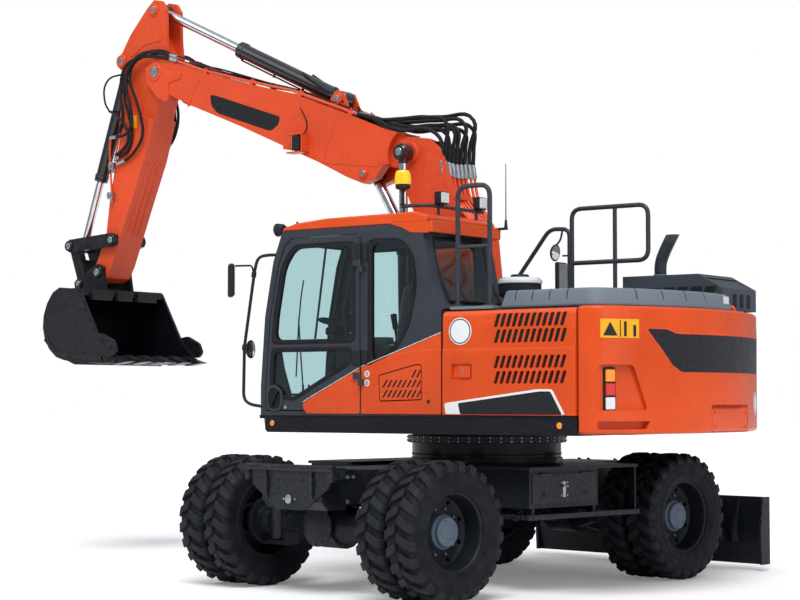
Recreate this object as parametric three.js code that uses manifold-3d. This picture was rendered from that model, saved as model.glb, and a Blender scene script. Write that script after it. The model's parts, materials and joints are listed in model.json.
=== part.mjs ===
// Wheeled excavator with a two-piece boom, twin tyres and a rear dozer blade.
// Millimetres, +Z up. The upper structure is modelled with +X forward along the boom and +Y towards
// the cab, its origin on the ground under the slewing axis. The undercarriage is modelled in the same
// way and then turned about the slewing axis, because the machine stands with its upper structure slewed.

import * as THREE from 'three';
import { mergeVertices } from 'three/addons/utils/BufferGeometryUtils.js';
import Module from 'manifold-3d';

const wasm = await Module();
wasm.setup();

// ---------------------------------------------------------------- clearances
const SEAT = 0.4;            // between two pieces that touch
const PIN_PLAY = 1;          // radial, between a pin and its bore
const SIDE_PLAY = 6;         // beside an eye or a boss that turns
const RUN = 8;               // between pieces that move past each other
const DOOR_GAP = 8;          // around a door or a lid

// ---------------------------------------------------------------- driving sizes, undercarriage
const SLEW_ANGLE = 81.4;     // from the upper structure's front to the undercarriage's front, degrees
const WHEELBASE = 2700;
const FRONT_AXLE_X = 1690;
const REAR_AXLE_X = FRONT_AXLE_X - WHEELBASE;
const AXLE_Z = 509;          // in the drawing; the finished machine is set down on its tyres
const TYRE_R = 509;
const TYRE_W = 259;
const TWIN_PITCH = 300;
const TRACK_OUTER = 2292;    // between the centres of the outer tyres
const RIM_R = 280;
const RIM_W = 200;
const RIM_WALL = 13;
const HUB_R = 126;
const HUB_WALL = 14;
const SPINDLE_R = 96;
const KING_Y = 640;          // king pins from the centre line
const KING_R = 34;
const AXLE_R = 82;
const DIFF_R = 175;
const FRAME_W = 660;
const FRAME_BOTTOM = 620;
const FRAME_TOP = 930;
const FRAME_FRONT = 2130;
const FRAME_REAR = REAR_AXLE_X - 470;
const RING_R = 610;
const RING_TOP = 1170;
const BOX_FRONT = 845;       // side toolboxes
const BOX_REAR = 45;
const BOX_INNER = RING_R + 30;
const BOX_OUTER = 1200;
const BOX_BOTTOM = 640;
const BOX_TOP = 925;
const STEP_Z = 560;
const STEP_FRONT = 890;
const STEP_REAR = REAR_AXLE_X + TYRE_R + 71;
const BUMPER_HALF = 480;
const BLADE_W = 2520;
const BLADE_X = REAR_AXLE_X - TYRE_R - 601;
const BLADE_BOTTOM = 55;
const BLADE_TOP = 625;
const BLADE_PIVOT = [FRAME_REAR, 430];
const BLADE_ARM_Y = 330;
const BLADE_CYL_BASE = [FRAME_REAR - 82, 855];
const BLADE_CYL_EYE = [BLADE_X + 120, 445];
const BLADE_CYL_Y = 200;

// ---------------------------------------------------------------- driving sizes, upper structure
const HALF_W = 1260;
const SKIRT_BOTTOM = 1190;
const DECK_TOP = 1326;
const DECK_T = 30;
const SKIRT_T = 14;
const FRONT_X = 1373;
const TAIL_R = 2176;
const TAIL_CORNER_R = 190;
const SEAM_X = 50 - Math.round(Math.sqrt((TAIL_R - TAIL_CORNER_R) ** 2
  - (HALF_W - TAIL_CORNER_R) ** 2));      // between the side doors and the counterweight
const PANEL_TOP = 2125;
const TONGUE_X = -1985;      // end of the deck inside the counterweight
const PANEL_T = 40;
const CAB_REAR = -440;
const CAB_FRONT = 1352;
const CAB_INNER_Y = 335;
const CAB_WALL = 45;
const CAB_TOP = 2800;        // where the roof sits on the pillars
const ROOF_T = 90;
const DOOR_REAR = 335;
const HINGE_OUT = 14;        // door hinge axis outside the cab wall
const STEERING_R = 190;
const WHEEL_HEIGHT = 678;      // of the steering wheel over the cab floor
const HOOD_TOP = 2262;
const HOOD_FRONT = -900;
const HOOD_RIGHT = -330;
const TANK_TOP = 2100;
const RAIL_R = 19;
const BEND_STEPS = 4;

// ---------------------------------------------------------------- driving sizes, boom and arm
const FOOT = [40, 1820];
const KNUCKLE = [676, 3514];
const TIP = [3602, 4501];
const ARM_CYL_BASE = [1494, 4062];
const ARM_CYL_EYE = [3670, 5105];
const BUCKET_CYL_BASE = [4085, 4660];
const GUIDE_PIN = [4126, 2957];
const LINK_PIN = [4690, 2923];
const BUCKET_PIN = [4311, 2657];
const BUCKET_EAR = [4560, 2560];
const LIFT_BASE = [640, 1420];
const ADJUST_BASE = [430, 2160];
const ADJUST_EYE = [1147, 3378];
const LOWER_HALF = 150;
const UPPER_HALF = 165;
const UPPER_BOSS_HALF = 118;
const ARM_HALF = 152;
const ARM_BOSS_HALF = 118;
const TIP_FORK_R = 425;       // depth of the boom tip's fork on its lower side
const LIFT_Y = 240;
const BUCKET_HALF = 560;
const BUCKET_SHELL = 26;
const PIN_R = 40;
const EYE_R = 78;

// ---------------------------------------------------------------- materials
const paint = (color, roughness, metalness) => new THREE.MeshStandardMaterial({ color, roughness,
  metalness });
const MATERIALS = {
  orange: paint(0xe8481c, 0.35, 0.0),
  charcoal: paint(0x3b4048, 0.45, 0.0),
  navy: paint(0x1c2028, 0.55, 0.0),
  grey: paint(0x5b6169, 0.6, 0.0),
  tyre: paint(0x17191c, 0.9, 0.0),
  chrome: paint(0xd6d9dc, 0.12, 1.0),
  seat: paint(0x22252a, 0.9, 0.0),
};

// ---------------------------------------------------------------- solids
/** Manifold of a closed three.js geometry. */
function solid(geometry) {
  const bare = geometry.index ? geometry.toNonIndexed() : geometry.clone();
  for (const name of Object.keys(bare.attributes)) {
    if (name !== 'position') bare.deleteAttribute(name);
  }
  const merged = mergeVertices(bare, 1e-3);
  return new wasm.Manifold(new wasm.Mesh({
    numProp: 3,
    vertProperties: new Float32Array(merged.attributes.position.array),
    triVerts: new Uint32Array(merged.index.array),
  }));
}

const join = (...shapes) => shapes.flat().reduce((a, b) => a.add(b));
const cut = (shape, ...tools) => tools.flat().reduce((a, b) => a.subtract(b), shape);

function outline(points) {
  const shape = new THREE.Shape();
  points.forEach(([a, b], i) => (i ? shape.lineTo(a, b) : shape.moveTo(a, b)));
  shape.closePath();
  return shape;
}

/** Shape drawn in the XZ plane, extruded from y0 to y1. */
function plate(shape, y0, y1, curveSegments = 6) {
  const drawn = Array.isArray(shape) ? outline(shape) : shape;
  const geometry = new THREE.ExtrudeGeometry(drawn, { depth: y1 - y0, bevelEnabled: false, curveSegments });
  return solid(geometry.rotateX(Math.PI / 2).translate(0, y1, 0));
}

/** Shape drawn in the XY plane, extruded from z0 to z1. */
function slab(shape, z0, z1, curveSegments = 6) {
  const drawn = Array.isArray(shape) ? outline(shape) : shape;
  const geometry = new THREE.ExtrudeGeometry(drawn, { depth: z1 - z0, bevelEnabled: false, curveSegments });
  return solid(geometry.translate(0, 0, z0));
}

/** Shape drawn in the YZ plane, extruded from x0 to x1. */
function wall(shape, x0, x1, curveSegments = 6) {
  const drawn = Array.isArray(shape) ? outline(shape) : shape;
  const geometry = new THREE.ExtrudeGeometry(drawn, { depth: x1 - x0, bevelEnabled: false, curveSegments });
  return solid(geometry.rotateX(Math.PI / 2).rotateZ(Math.PI / 2).translate(x0, 0, 0));
}

function block(x0, x1, y0, y1, z0, z1) {
  const geometry = new THREE.BoxGeometry(x1 - x0, y1 - y0, z1 - z0);
  return solid(geometry.translate((x0 + x1) / 2, (y0 + y1) / 2, (z0 + z1) / 2));
}

/** Round bar between two points. */
function bar(from, to, r0, r1 = r0, segments = 14) {
  const a = new THREE.Vector3(...from);
  const b = new THREE.Vector3(...to);
  const way = b.clone().sub(a);
  const geometry = new THREE.CylinderGeometry(r1, r0, way.length(), segments);
  const turn = new THREE.Quaternion().setFromUnitVectors(new THREE.Vector3(0, 1, 0), way.normalize());
  geometry.applyQuaternion(turn);
  return solid(geometry.translate(...a.add(b).multiplyScalar(0.5).toArray()));
}

/** Cross bar along Y through a point of the XZ plane. */
const cross = ([x, z], y0, y1, r, segments = 16) => bar([x, y0, z], [x, y1, z], r, r, segments);

/** Profile of [radius, height] points turned about Z; it may be drawn either way round. */
function turned(profile, segments = 32) {
  const points = profile.map(([r, h]) => new THREE.Vector2(r, h));
  if (THREE.ShapeUtils.area(points) < 0) points.reverse();
  return solid(new THREE.LatheGeometry(points, segments).rotateX(Math.PI / 2));
}

/** Curve that passes its stations one by one, so that each ring of a tube stands at one of them. */
class Route extends THREE.Curve {
  constructor(stations) {
    super();
    this.stations = stations;
  }

  getPointAt(u) {
    return this.stations[Math.round(u * (this.stations.length - 1))].clone();
  }

  getTangentAt(u) {
    const last = this.stations.length - 1;
    const i = Math.round(u * last);
    const before = this.stations[Math.max(i - 1, 0)];
    const after = this.stations[Math.min(i + 1, last)];
    const here = this.stations[i];
    const into = i ? here.clone().sub(before).normalize() : new THREE.Vector3();
    const out = i < last ? after.clone().sub(here).normalize() : new THREE.Vector3();
    return into.add(out).normalize();
  }
}

/** Closed round tube through given stations. */
function sweep(stations, radius, sides = 8) {
  const ring = new THREE.Shape();
  ring.absarc(0, 0, radius, 0, 2 * Math.PI, false);
  return solid(new THREE.ExtrudeGeometry(ring, {
    steps: stations.length - 1, extrudePath: new Route(stations), bevelEnabled: false,
      curveSegments: sides / 2,
  }));
}

/** Round tube along straight runs whose corners are rounded. */
function rail(points, radius, corner, sides = 8) {
  const at = points.map((p) => new THREE.Vector3(...p));
  const stations = [at[0]];
  for (let i = 1; i < at.length - 1; i += 1) {
    const into = at[i].clone().sub(at[i - 1]).normalize();
    const out = at[i + 1].clone().sub(at[i]).normalize();
    const from = at[i].clone().addScaledVector(into, -corner);
    const to = at[i].clone().addScaledVector(out, corner);
    const bend = new THREE.QuadraticBezierCurve3(from, at[i], to);
    stations.push(...bend.getPoints(BEND_STEPS));
  }
  return sweep([...stations, at[at.length - 1]], radius, sides);
}

const place = (shape, x, y, z, degreesZ = 0) => shape.rotate([0, 0, degreesZ]).translate([x, y, z]);
const mirrorY = (shape) => shape.mirror([0, 1, 0]);
const along = ([x0, z0], [x1, z1], d) => {
  const length = Math.hypot(x1 - x0, z1 - z0);
  return [x0 + ((x1 - x0) * d) / length, z0 + ((z1 - z0) * d) / length];
};
const distance = ([x0, z0], [x1, z1]) => Math.hypot(x1 - x0, z1 - z0);

/** Mesh of a solid, named as its node. */
function piece(name, shape, material) {
  const mesh = shape.getMesh();
  const geometry = new THREE.BufferGeometry();
  geometry.setAttribute('position', new THREE.BufferAttribute(new Float32Array(mesh.vertProperties), 3));
  geometry.setIndex(new THREE.BufferAttribute(new Uint32Array(mesh.triVerts), 1));
  const made = new THREE.Mesh(geometry, MATERIALS[material]);
  made.name = name;
  return made;
}

// ---------------------------------------------------------------- undercarriage
const OUTER_Y = TRACK_OUTER / 2;
const INNER_Y = OUTER_Y - TWIN_PITCH;
const HUB_FACE_Y = OUTER_Y + 40;           // outer end of the hub
const SPINDLE_END_Y = HUB_FACE_Y - HUB_WALL - SEAT;
const HALF_FRAME = FRAME_W / 2;
const TYRE_SIDES = 20;

/** Two tyres joined at their beads by the spacer band between the rims. */
function twinTyres() {
  const bead = RIM_R + SEAT;
  const band = bead + 14;
  const half = TYRE_W / 2;
  const lean = 0.78 * half;
  const tread = TYRE_R / Math.cos(Math.PI / TYRE_SIDES);      // its flats lie at the tyre's radius
  const widest = (TYRE_R + RIM_R) / 2;
  const section = (at) => [
    [band, at - lean], [widest, at - half], [tread, at - half * 0.82],
    [tread, at + half * 0.82], [widest, at + half], [band, at + lean],
  ];
  const inner = section(-TWIN_PITCH / 2);
  const outer = section(TWIN_PITCH / 2);
  const start = [bead, -TWIN_PITCH / 2 - lean];
  const end = [bead, TWIN_PITCH / 2 + lean];
  return turned([start, ...inner, ...outer, end, start], TYRE_SIDES);
}

/** Both rims, the discs between them and the closed planetary hub. */
function twinRim() {
  const a = -TWIN_PITCH / 2 - RIM_W / 2;
  const b = TWIN_PITCH / 2 + RIM_W / 2;
  const face = HUB_FACE_Y - (OUTER_Y - TWIN_PITCH / 2);
  const disc = 16;
  const inside = RIM_R - RIM_WALL;
  const bore = HUB_R - HUB_WALL;
  return turned([
    [0, face], [HUB_R - 12, face], [HUB_R, face - 12], [HUB_R, disc], [inside, disc], [inside, b],
    [RIM_R, b], [RIM_R, a], [inside, a], [inside, -disc], [bore, -disc], [bore, face - HUB_WALL],
    [0, face - HUB_WALL],
  ], TYRE_SIDES);
}

/** Wheel solids stand along +Z, so they are laid over towards +Y (side 1) or -Y (side -1). */
function wheelAt(shape, x, side) {
  const flat = shape.rotate([0, 0, 180 / TYRE_SIDES]).rotate([-90 * side, 0, 0]);
  return flat.translate([x, side * (OUTER_Y - TWIN_PITCH / 2), AXLE_Z]);
}

function chassisFrame() {
  const low = FRAME_BOTTOM;
  const high = FRAME_TOP;
  const beam = plate([
    [FRAME_REAR, low - 60], [FRAME_REAR + 330, low], [FRAME_FRONT - 60, low + 20], [FRAME_FRONT, low + 80],
    [FRAME_FRONT, high + 20], [FRAME_FRONT - 500, high], [FRAME_REAR, high],
  ], -HALF_FRAME, HALF_FRAME);
  const pedestal = bar([0, 0, high - 40], [0, 0, high + 14], RING_R + 15, RING_R + 15, 24);
  const bumper = block(FRAME_FRONT - 90, FRAME_FRONT + 20, -BUMPER_HALF, BUMPER_HALF, high - 60, high + 30);
  const cradle = block(FRONT_AXLE_X - 150, FRONT_AXLE_X + 150, -150, 150, AXLE_Z + DIFF_R + SEAT - 30,
    low + 40);
  const notches = [FRONT_AXLE_X, REAR_AXLE_X].map((x) => block(x - 200, x + 200, -HALF_FRAME - 5,
    HALF_FRAME + 5,
    low - 400, AXLE_Z + DIFF_R + SEAT));
  const legs = [-1, 1].map((s) => block(REAR_AXLE_X - 130, REAR_AXLE_X + 130,
    Math.min(s * 310, s * 430), Math.max(s * 310, s * 430), AXLE_Z + SPINDLE_R + SEAT, high - 40));
  const outriggers = [-1, 1].map((s) => block(BOX_REAR, BOX_FRONT,
    Math.min(s * (HALF_FRAME - 20), s * (BOX_INNER - SEAT)),
      Math.max(s * (HALF_FRAME - 20), s * (BOX_INNER - SEAT)),
    BOX_BOTTOM + 20, high - 30));
  const [px, pz] = BLADE_PIVOT;
  const lugs = [-1, 1].map((s) => join(
    plate([[FRAME_REAR + 280, low + 40], [px + 90, pz - 50], [px + 30, pz - 80], [px - 30, pz - 80],
      [px - 80, pz - 20], [FRAME_REAR, low + 40]], s > 0 ? BLADE_ARM_Y - 70 : -BLADE_ARM_Y + 40,
    s > 0 ? BLADE_ARM_Y - 40 : -BLADE_ARM_Y + 70),
    cross([px, pz], s > 0 ? BLADE_ARM_Y - 45 : -BLADE_ARM_Y - 42,
      s > 0 ? BLADE_ARM_Y + 42 : -BLADE_ARM_Y + 45, 32),
  ));
  const [bx, bz] = BLADE_CYL_BASE;
  const cylinderLugs = [-1, 1].map((s) => {
    const y = s * BLADE_CYL_Y;
    const ear = (y0) => plate([[FRAME_REAR + 10, bz - 90], [bx - 10, bz - 45], [bx - 45, bz],
      [bx - 10, bz + 45],
      [FRAME_REAR + 10, bz + 90]], y0, y0 + 20);
    return join(ear(y - 62), ear(y + 42), cross([bx, bz], y - 60, y + 60, 24));
  });
  return join(cut(join(beam, pedestal, cradle), ...notches), ...legs, bumper, ...outriggers, ...lugs,
    ...cylinderLugs);
}

function slewRing() {
  const low = FRAME_TOP + 14 + SEAT;
  const tube = bar([0, 0, low], [0, 0, RING_TOP], RING_R, RING_R, 24);
  const flange = bar([0, 0, low], [0, 0, low + 40], RING_R + 12, RING_R + 12, 24);
  return cut(join(tube, flange), bar([0, 0, low - 10], [0, 0, RING_TOP + 10], RING_R - 120, RING_R - 120,
    16));
}

function toolbox(side) {
  const y0 = BOX_INNER;
  const y1 = BOX_OUTER;
  const body = block(BOX_REAR, BOX_FRONT, y0, y1, BOX_BOTTOM, BOX_TOP);
  const shelf = block(STEP_REAR, BOX_FRONT + 20, y0 + 60, y1 + 20, BOX_TOP - 2, BOX_TOP + 22);
  const step = block(STEP_REAR, STEP_FRONT, y1 - 260, y1 + 30, STEP_Z, STEP_Z + 28);
  const hangers = [BOX_REAR + 30, BOX_FRONT - 60].map((x) => block(x, x + 30, y1 - 60, y1, STEP_Z + 20,
    BOX_BOTTOM + 5));
  const rear = block(STEP_REAR, STEP_REAR + 20, y1 - 60, y1, STEP_Z + 20, BOX_TOP);
  const made = join(body, shelf, step, rear, ...hangers);
  return side > 0 ? made : mirrorY(made);
}

function axleHousing(reach, noseSide) {
  const tube = bar([0, -reach, 0], [0, reach, 0], AXLE_R, AXLE_R, 12);
  const taper = [-1, 1].map((s) => bar([0, s * 130, 0], [0, s * 330, 0], DIFF_R - 25, AXLE_R, 12));
  const bowl = bar([0, -132, 0], [0, 132, 0], DIFF_R, DIFF_R, 16);
  const nose = bar([0, 0, 0], [noseSide * 300, 0, 0], 105, 70, 10);
  return join(tube, bowl, nose, ...taper);
}

function frontAxle() {
  const reach = KING_Y - 115;
  const fork = [-1, 1].flatMap((s) => {
    const ear = (z0, z1) => block(-70, 70, Math.min(s * (reach - 40), s * (KING_Y + 60)),
      Math.max(s * (reach - 40), s * (KING_Y + 60)), z0, z1);
    const web = block(-70, 70, Math.min(s * (reach - 40), s * reach), Math.max(s * (reach - 40), s * reach),
      -175, 175);
    return [ear(140, 175), ear(-175, -140), web,
      bar([0, s * KING_Y, -150], [0, s * KING_Y, 150], KING_R, KING_R, 24)];
  });
  const saddle = block(-140, 140, -120, 120, DIFF_R - 60, DIFF_R);
  const housing = join(axleHousing(reach, -1), saddle);
  return place(join(housing, ...fork), FRONT_AXLE_X, 0, AXLE_Z);
}

/** Steering knuckle with its spindle and brake drum, for the left side. */
function knuckle(side) {
  const barrel = bar([0, KING_Y, -140 + SIDE_PLAY], [0, KING_Y, 140 - SIDE_PLAY], 74, 74, 12);
  const drum = bar([0, KING_Y + 30, 0], [0, KING_Y + 122, 0], 110, 131, 16);
  const brake = bar([0, KING_Y + 120, 0], [0, INNER_Y - RIM_W / 2 + 60, 0], 190, 190, 16);
  const spindle = bar([0, KING_Y + 40, 0], [0, SPINDLE_END_Y, 0], SPINDLE_R, SPINDLE_R, 16);
  const arm = block(-250, -60, KING_Y - 25, KING_Y + 25, -60, -25);
  const bore = bar([0, KING_Y, -200], [0, KING_Y, 200], KING_R + PIN_PLAY, KING_R + PIN_PLAY, 24);
  const made = cut(join(barrel, drum, brake, spindle, arm), bore);
  return place(side > 0 ? made : mirrorY(made), FRONT_AXLE_X, 0, AXLE_Z);
}

function rearAxle() {
  const spindles = [-1, 1].map((s) => join(
    bar([0, s * 300, 0], [0, s * SPINDLE_END_Y, 0], SPINDLE_R, SPINDLE_R, 16),
    bar([0, s * (INNER_Y - RIM_W / 2 - 60), 0], [0, s * (INNER_Y - RIM_W / 2 + 60), 0], 190, 190, 16),
  ));
  return place(join(axleHousing(500, 1), ...spindles), REAR_AXLE_X, 0, AXLE_Z);
}

/** Gearbox under the frame with the shafts that reach both axle noses. */
function driveLine() {
  const z = AXLE_Z + 20;
  const noseFront = FRONT_AXLE_X - 300 - SEAT;
  const noseRear = REAR_AXLE_X + 300 + SEAT;
  const middle = (noseFront + noseRear) / 2 - 150;
  const gearbox = block(middle - 190, middle + 190, -170, 170, z - 150, FRAME_BOTTOM + 4 - SEAT - 2);
  const shaft = bar([noseRear, 0, AXLE_Z], [noseFront, 0, AXLE_Z], 42, 42, 12);
  const yokes = [noseRear, noseFront - 90].map((x) => bar([x, 0, AXLE_Z], [x + 90, 0, AXLE_Z], 66, 66, 12));
  return join(gearbox, shaft, ...yokes);
}

function dozerBlade() {
  const half = BLADE_W / 2;
  const x = BLADE_X;
  const skin = plate([
    [x - 20, BLADE_BOTTOM], [x + 12, BLADE_BOTTOM], [x + 42, BLADE_BOTTOM + 160], [x + 52, 330],
    [x + 36, 500], [x - 6, BLADE_TOP], [x - 36, BLADE_TOP], [x - 2, 500], [x + 14, 330],
    [x + 8, BLADE_BOTTOM + 160],
  ], -half, half);
  const ends = [-half, half - 22].map((y) => plate([
    [x - 60, BLADE_BOTTOM], [x + 60, BLADE_BOTTOM], [x + 75, 330], [x + 40, BLADE_TOP], [x - 60, BLADE_TOP],
  ], y, y + 22));
  const beam = block(x + 35, x + 120, -900, 900, 240, 330);
  const [px, pz] = BLADE_PIVOT;
  const arms = [-1, 1].map((s) => {
    const y0 = s * BLADE_ARM_Y - 38;
    const y1 = s * BLADE_ARM_Y + 38;
    return cut(plate([[px + 60, pz], [px + 42, pz + 42], [px, pz + 60], [x + 90, 380], [x + 40, 380],
      [x + 40, 230],
      [x + 90, 230], [px, pz - 60], [px + 42, pz - 42]], y0, y1),
      cross([px, pz], y0 - 9, y1 + 9, 32 + PIN_PLAY));
  });
  const [ex, ez] = BLADE_CYL_EYE;
  const ears = [-1, 1].flatMap((s) => [-62, 40].map((dy) => plate([
    [x + 35, ez - 90], [ex + 20, ez - 55], [ex + 50, ez], [ex + 20, ez + 50], [x + 35, ez + 90],
  ], s * BLADE_CYL_Y + dy, s * BLADE_CYL_Y + dy + 22)));
  return join(skin, beam, ...ends, ...arms, ...ears);
}

// ---------------------------------------------------------------- cylinders
/** Barrel from its base eye, with a bore for the rod, in the XZ plane at y. */
function barrel(base, eye, y, outer, rodR, length, eyeR, eyeHalf, pinR) {
  const end = along(base, eye, length);
  const start = along(base, eye, eyeR + 24);
  const neckR = Math.min(outer, eyeHalf) - 4;
  const neck = bar([base[0], y, base[1]], [start[0], y, start[1]], neckR, neckR, 8);
  const tube = bar([start[0], y, start[1]], [end[0], y, end[1]], outer, outer, 12);
  const gland = along(base, eye, length - 70);
  const collar = bar([gland[0], y, gland[1]], [end[0], y, end[1]], outer + 9, outer + 9, 12);
  const head = cross(base, y - eyeHalf, y + eyeHalf, eyeR, 12);
  const boreEnd = along(base, eye, length + 5);
  const boreStart = along(base, eye, eyeR + 70);
  const rodBore = bar([boreStart[0], y, boreStart[1]], [boreEnd[0], y, boreEnd[1]], rodR + PIN_PLAY,
    rodR + PIN_PLAY, 10);
  const pinBore = cross(base, y - eyeHalf - 9, y + eyeHalf + 9, pinR + PIN_PLAY);
  return cut(join(tube, collar, head, neck), rodBore, pinBore);
}

/** Chromed rod with its eye; reach is how far it goes into the barrel from the eye. */
function rodWithEye(base, eye, y, rodR, reach, eyeR, eyeHalf) {
  const inner = along(eye, base, reach);
  const shaft = bar([inner[0], y, inner[1]], [eye[0], y, eye[1]], rodR, rodR, 10);
  return join(shaft, cross(eye, y - eyeHalf, y + eyeHalf, eyeR, 12));
}

// ---------------------------------------------------------------- upper structure
const PIVOT_R = 8;
const SIDE_PIVOT = [SEAM_X + DOOR_GAP + PANEL_T / 2, HALF_W - 2 - PANEL_T / 2];

function deckOutline(inset = 0, rear = SEAM_X) {
  const w = HALF_W - inset;
  const f = FRONT_X - inset;
  const c = 70;
  return [[rear, -w], [f - c, -w], [f, -w + c], [f, w - c], [f - c, w], [rear, w]];
}

function upperFrame() {
  const deck = slab(deckOutline(0, TONGUE_X).map(([x, y]) => [x, x < SEAM_X - 1 ? Math.sign(y) * 560 : y]),
    DECK_TOP - DECK_T, DECK_TOP);
  const outer = slab(deckOutline(), SKIRT_BOTTOM, DECK_TOP);
  const inner = slab(deckOutline(SKIRT_T, SEAM_X + SKIRT_T), SKIRT_BOTTOM - 5, DECK_TOP + 5);
  const skirt = cut(outer, inner);
  const chamfer = plate([[FRONT_X + 5, SKIRT_BOTTOM + 108], [FRONT_X + 5, SKIRT_BOTTOM - 5],
    [FRONT_X - 95, SKIRT_BOTTOM - 5]],
    -HALF_W - 5, HALF_W + 5);
  const centre = block(-1500, 760, -360, 360, RING_TOP + SEAT + 12, DECK_TOP - 5);
  const bearing = bar([0, 0, RING_TOP + SEAT], [0, 0, RING_TOP + 60], RING_R - 20, RING_R - 20, 24);
  const [fx, fz] = FOOT;
  const [lx, lz] = LIFT_BASE;
  const inside = LOWER_HALF + SIDE_PLAY;
  const towers = [-1, 1].map((s) => {
    const y0 = s > 0 ? inside : -inside - 26;
    const side = plate([
      [-560, DECK_TOP - 4], [-430, DECK_TOP + 130], [fx - 120, fz + 20], [fx - 80, fz + 85], [fx, fz + 110],
      [fx + 85, fz + 75], [fx + 110, fz], [lx - 60, lz + 130], [lx + 60, lz + 80], [lx + 100, lz],
      [lx + 110, DECK_TOP - 4],
    ], y0, y0 + 26);
    const far = LIFT_Y + 50 + SIDE_PLAY;
    const lugY = s > 0 ? far : -far - 20;
    const lug = plate([[lx - 110, DECK_TOP - 4], [lx - 70, lz + 40], [lx, lz + 75], [lx + 70, lz + 40],
      [lx + 110, DECK_TOP - 4]],
      lugY, lugY + 20);
    const pin = cross(LIFT_BASE, s > 0 ? inside + 5 : -far - 5, s > 0 ? far + 5 : -inside - 5, PIN_R);
    return join(side, lug, pin);
  });
  const pivots = [1, -1].map(sidePivot);
  const footPin = cross(FOOT, -inside - 15, inside + 15, PIN_R + 8);
  const bulkhead = block(CAB_REAR - 40, CAB_REAR - 12, -HALF_W + PANEL_T + 30, HALF_W - PANEL_T - 30,
    DECK_TOP - 4, PANEL_TOP - 12);
  return join(cut(join(deck, skirt), chamfer), centre, bearing, ...towers, ...pivots, footPin, bulkhead);
}

/** Rear outline of the tail: an arc about the slewing axis with rounded corners. */
function tailShape(radius, halfWidth, frontX, corner) {
  const w = halfWidth;
  const cy = w - corner;
  const cx = -Math.sqrt((radius - corner) ** 2 - cy ** 2);
  const cornerEnd = Math.atan2(cy, cx);
  const shape = new THREE.Shape();
  shape.moveTo(frontX, -w);
  shape.lineTo(frontX, w);
  shape.lineTo(cx, w);
  shape.absarc(cx, cy, corner, Math.PI / 2, cornerEnd, false);
  shape.absarc(0, 0, radius, cornerEnd, 2 * Math.PI - cornerEnd, false);
  shape.absarc(cx, -cy, corner, 2 * Math.PI - cornerEnd, 1.5 * Math.PI, false);
  shape.closePath();
  return shape;
}

function counterweight() {
  const body = slab(tailShape(TAIL_R, HALF_W, SEAM_X - SEAT - 3, TAIL_CORNER_R), SKIRT_BOTTOM + 12,
    PANEL_TOP, 8);
  const bay = block(TONGUE_X - 8, SEAM_X + 10, 15 - HALF_W, HALF_W - 15, SKIRT_BOTTOM - 10, DECK_TOP + SEAT)
    .intersect(slab(deckOutline(15, TONGUE_X - 8), SKIRT_BOTTOM - 20, DECK_TOP + SEAT));
  const top = block(-1880, SEAM_X + 10, -1000, 1000, PANEL_TOP - 260, PANEL_TOP + 10);
  const notch = block(-TAIL_R - 50, -TAIL_R + 60, -430, 230, SKIRT_BOTTOM, SKIRT_BOTTOM + 210);
  return cut(body, bay, top, notch);
}

function sideDoor(side) {
  const y1 = HALF_W - 2;
  const y0 = y1 - PANEL_T;
  const rear = SEAM_X + DOOR_GAP;
  const front = CAB_REAR - DOOR_GAP;
  const skin = slab([[rear, y0], [front, y0], [front, y1], [rear + 12, y1], [rear, y1 - 12]],
    DECK_TOP + DOOR_GAP, PANEL_TOP - DOOR_GAP);
  const [px, py] = SIDE_PIVOT;
  const made = cut(skin, bar([px, py, DECK_TOP], [px, py, DECK_TOP + 60], PIVOT_R + PIN_PLAY,
    PIVOT_R + PIN_PLAY, 12));
  return side > 0 ? made : mirrorY(made);
}

/** Upright pin on the deck that a side door turns on, with the collar that it rests on. */
function sidePivot(side) {
  const [px, py] = SIDE_PIVOT;
  const top = DECK_TOP + DOOR_GAP - SEAT;
  return join(bar([px, side * py, DECK_TOP - 4], [px, side * py, top], PIVOT_R + 6, PIVOT_R + 6, 12),
    bar([px, side * py, DECK_TOP], [px, side * py, DECK_TOP + 55], PIVOT_R, PIVOT_R, 12));
}

/** Fuel and hydraulic tanks on the right, with the steps cut into their front. */
function rightTank() {
  const y0 = -HALF_W + 2;
  const y1 = -CAB_INNER_Y;
  return plate([
    [CAB_REAR + 6, DECK_TOP + SEAT], [FRONT_X - 60, DECK_TOP + SEAT], [FRONT_X - 60, 1560], [1010, 1600],
    [1010, 1800],
    [740, 1840], [740, TANK_TOP], [CAB_REAR + 6, TANK_TOP],
  ], y0, y1);
}

function engineBlock() {
  const rear = SEAM_X + 63;
  return block(rear, rear + 800, -430, 480, DECK_TOP + SEAT, 1960);
}

function engineHood() {
  const shape = tailShape(TAIL_R - 90, HALF_W - 90, HOOD_FRONT, 150);
  const keep = block(-2500, HOOD_FRONT + 10, HOOD_RIGHT, HALF_W, PANEL_TOP - 10, HOOD_TOP + 10);
  const outer = slab(shape, PANEL_TOP + SEAT, HOOD_TOP, 8).intersect(keep);
  const insideShape = tailShape(TAIL_R - 130, HALF_W - 130, HOOD_FRONT - 40, 110);
  const insideKeep = block(-2500, HOOD_FRONT, HOOD_RIGHT + 40, HALF_W, PANEL_TOP - 10, HOOD_TOP - 40);
  return cut(outer, slab(insideShape, PANEL_TOP - 20, HOOD_TOP - 40, 8).intersect(insideKeep));
}

/** Top deck over the pump and the radiator, in front of and beside the hood. */
function topCover() {
  const t = 24;
  const low = PANEL_TOP + SEAT;
  const front = block(HOOD_FRONT + DOOR_GAP, CAB_REAR - 60, -HALF_W + 60, HALF_W - 20, low, low + t);
  const right = block(-1960, HOOD_FRONT + DOOR_GAP + 5, -HALF_W + 60, HOOD_RIGHT - DOOR_GAP, low, low + t);
  const keep = slab(tailShape(TAIL_R - 90, HALF_W - 20, CAB_REAR, 150), low - 5, low + 60, 8);
  return join(front, right).intersect(keep);
}

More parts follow.
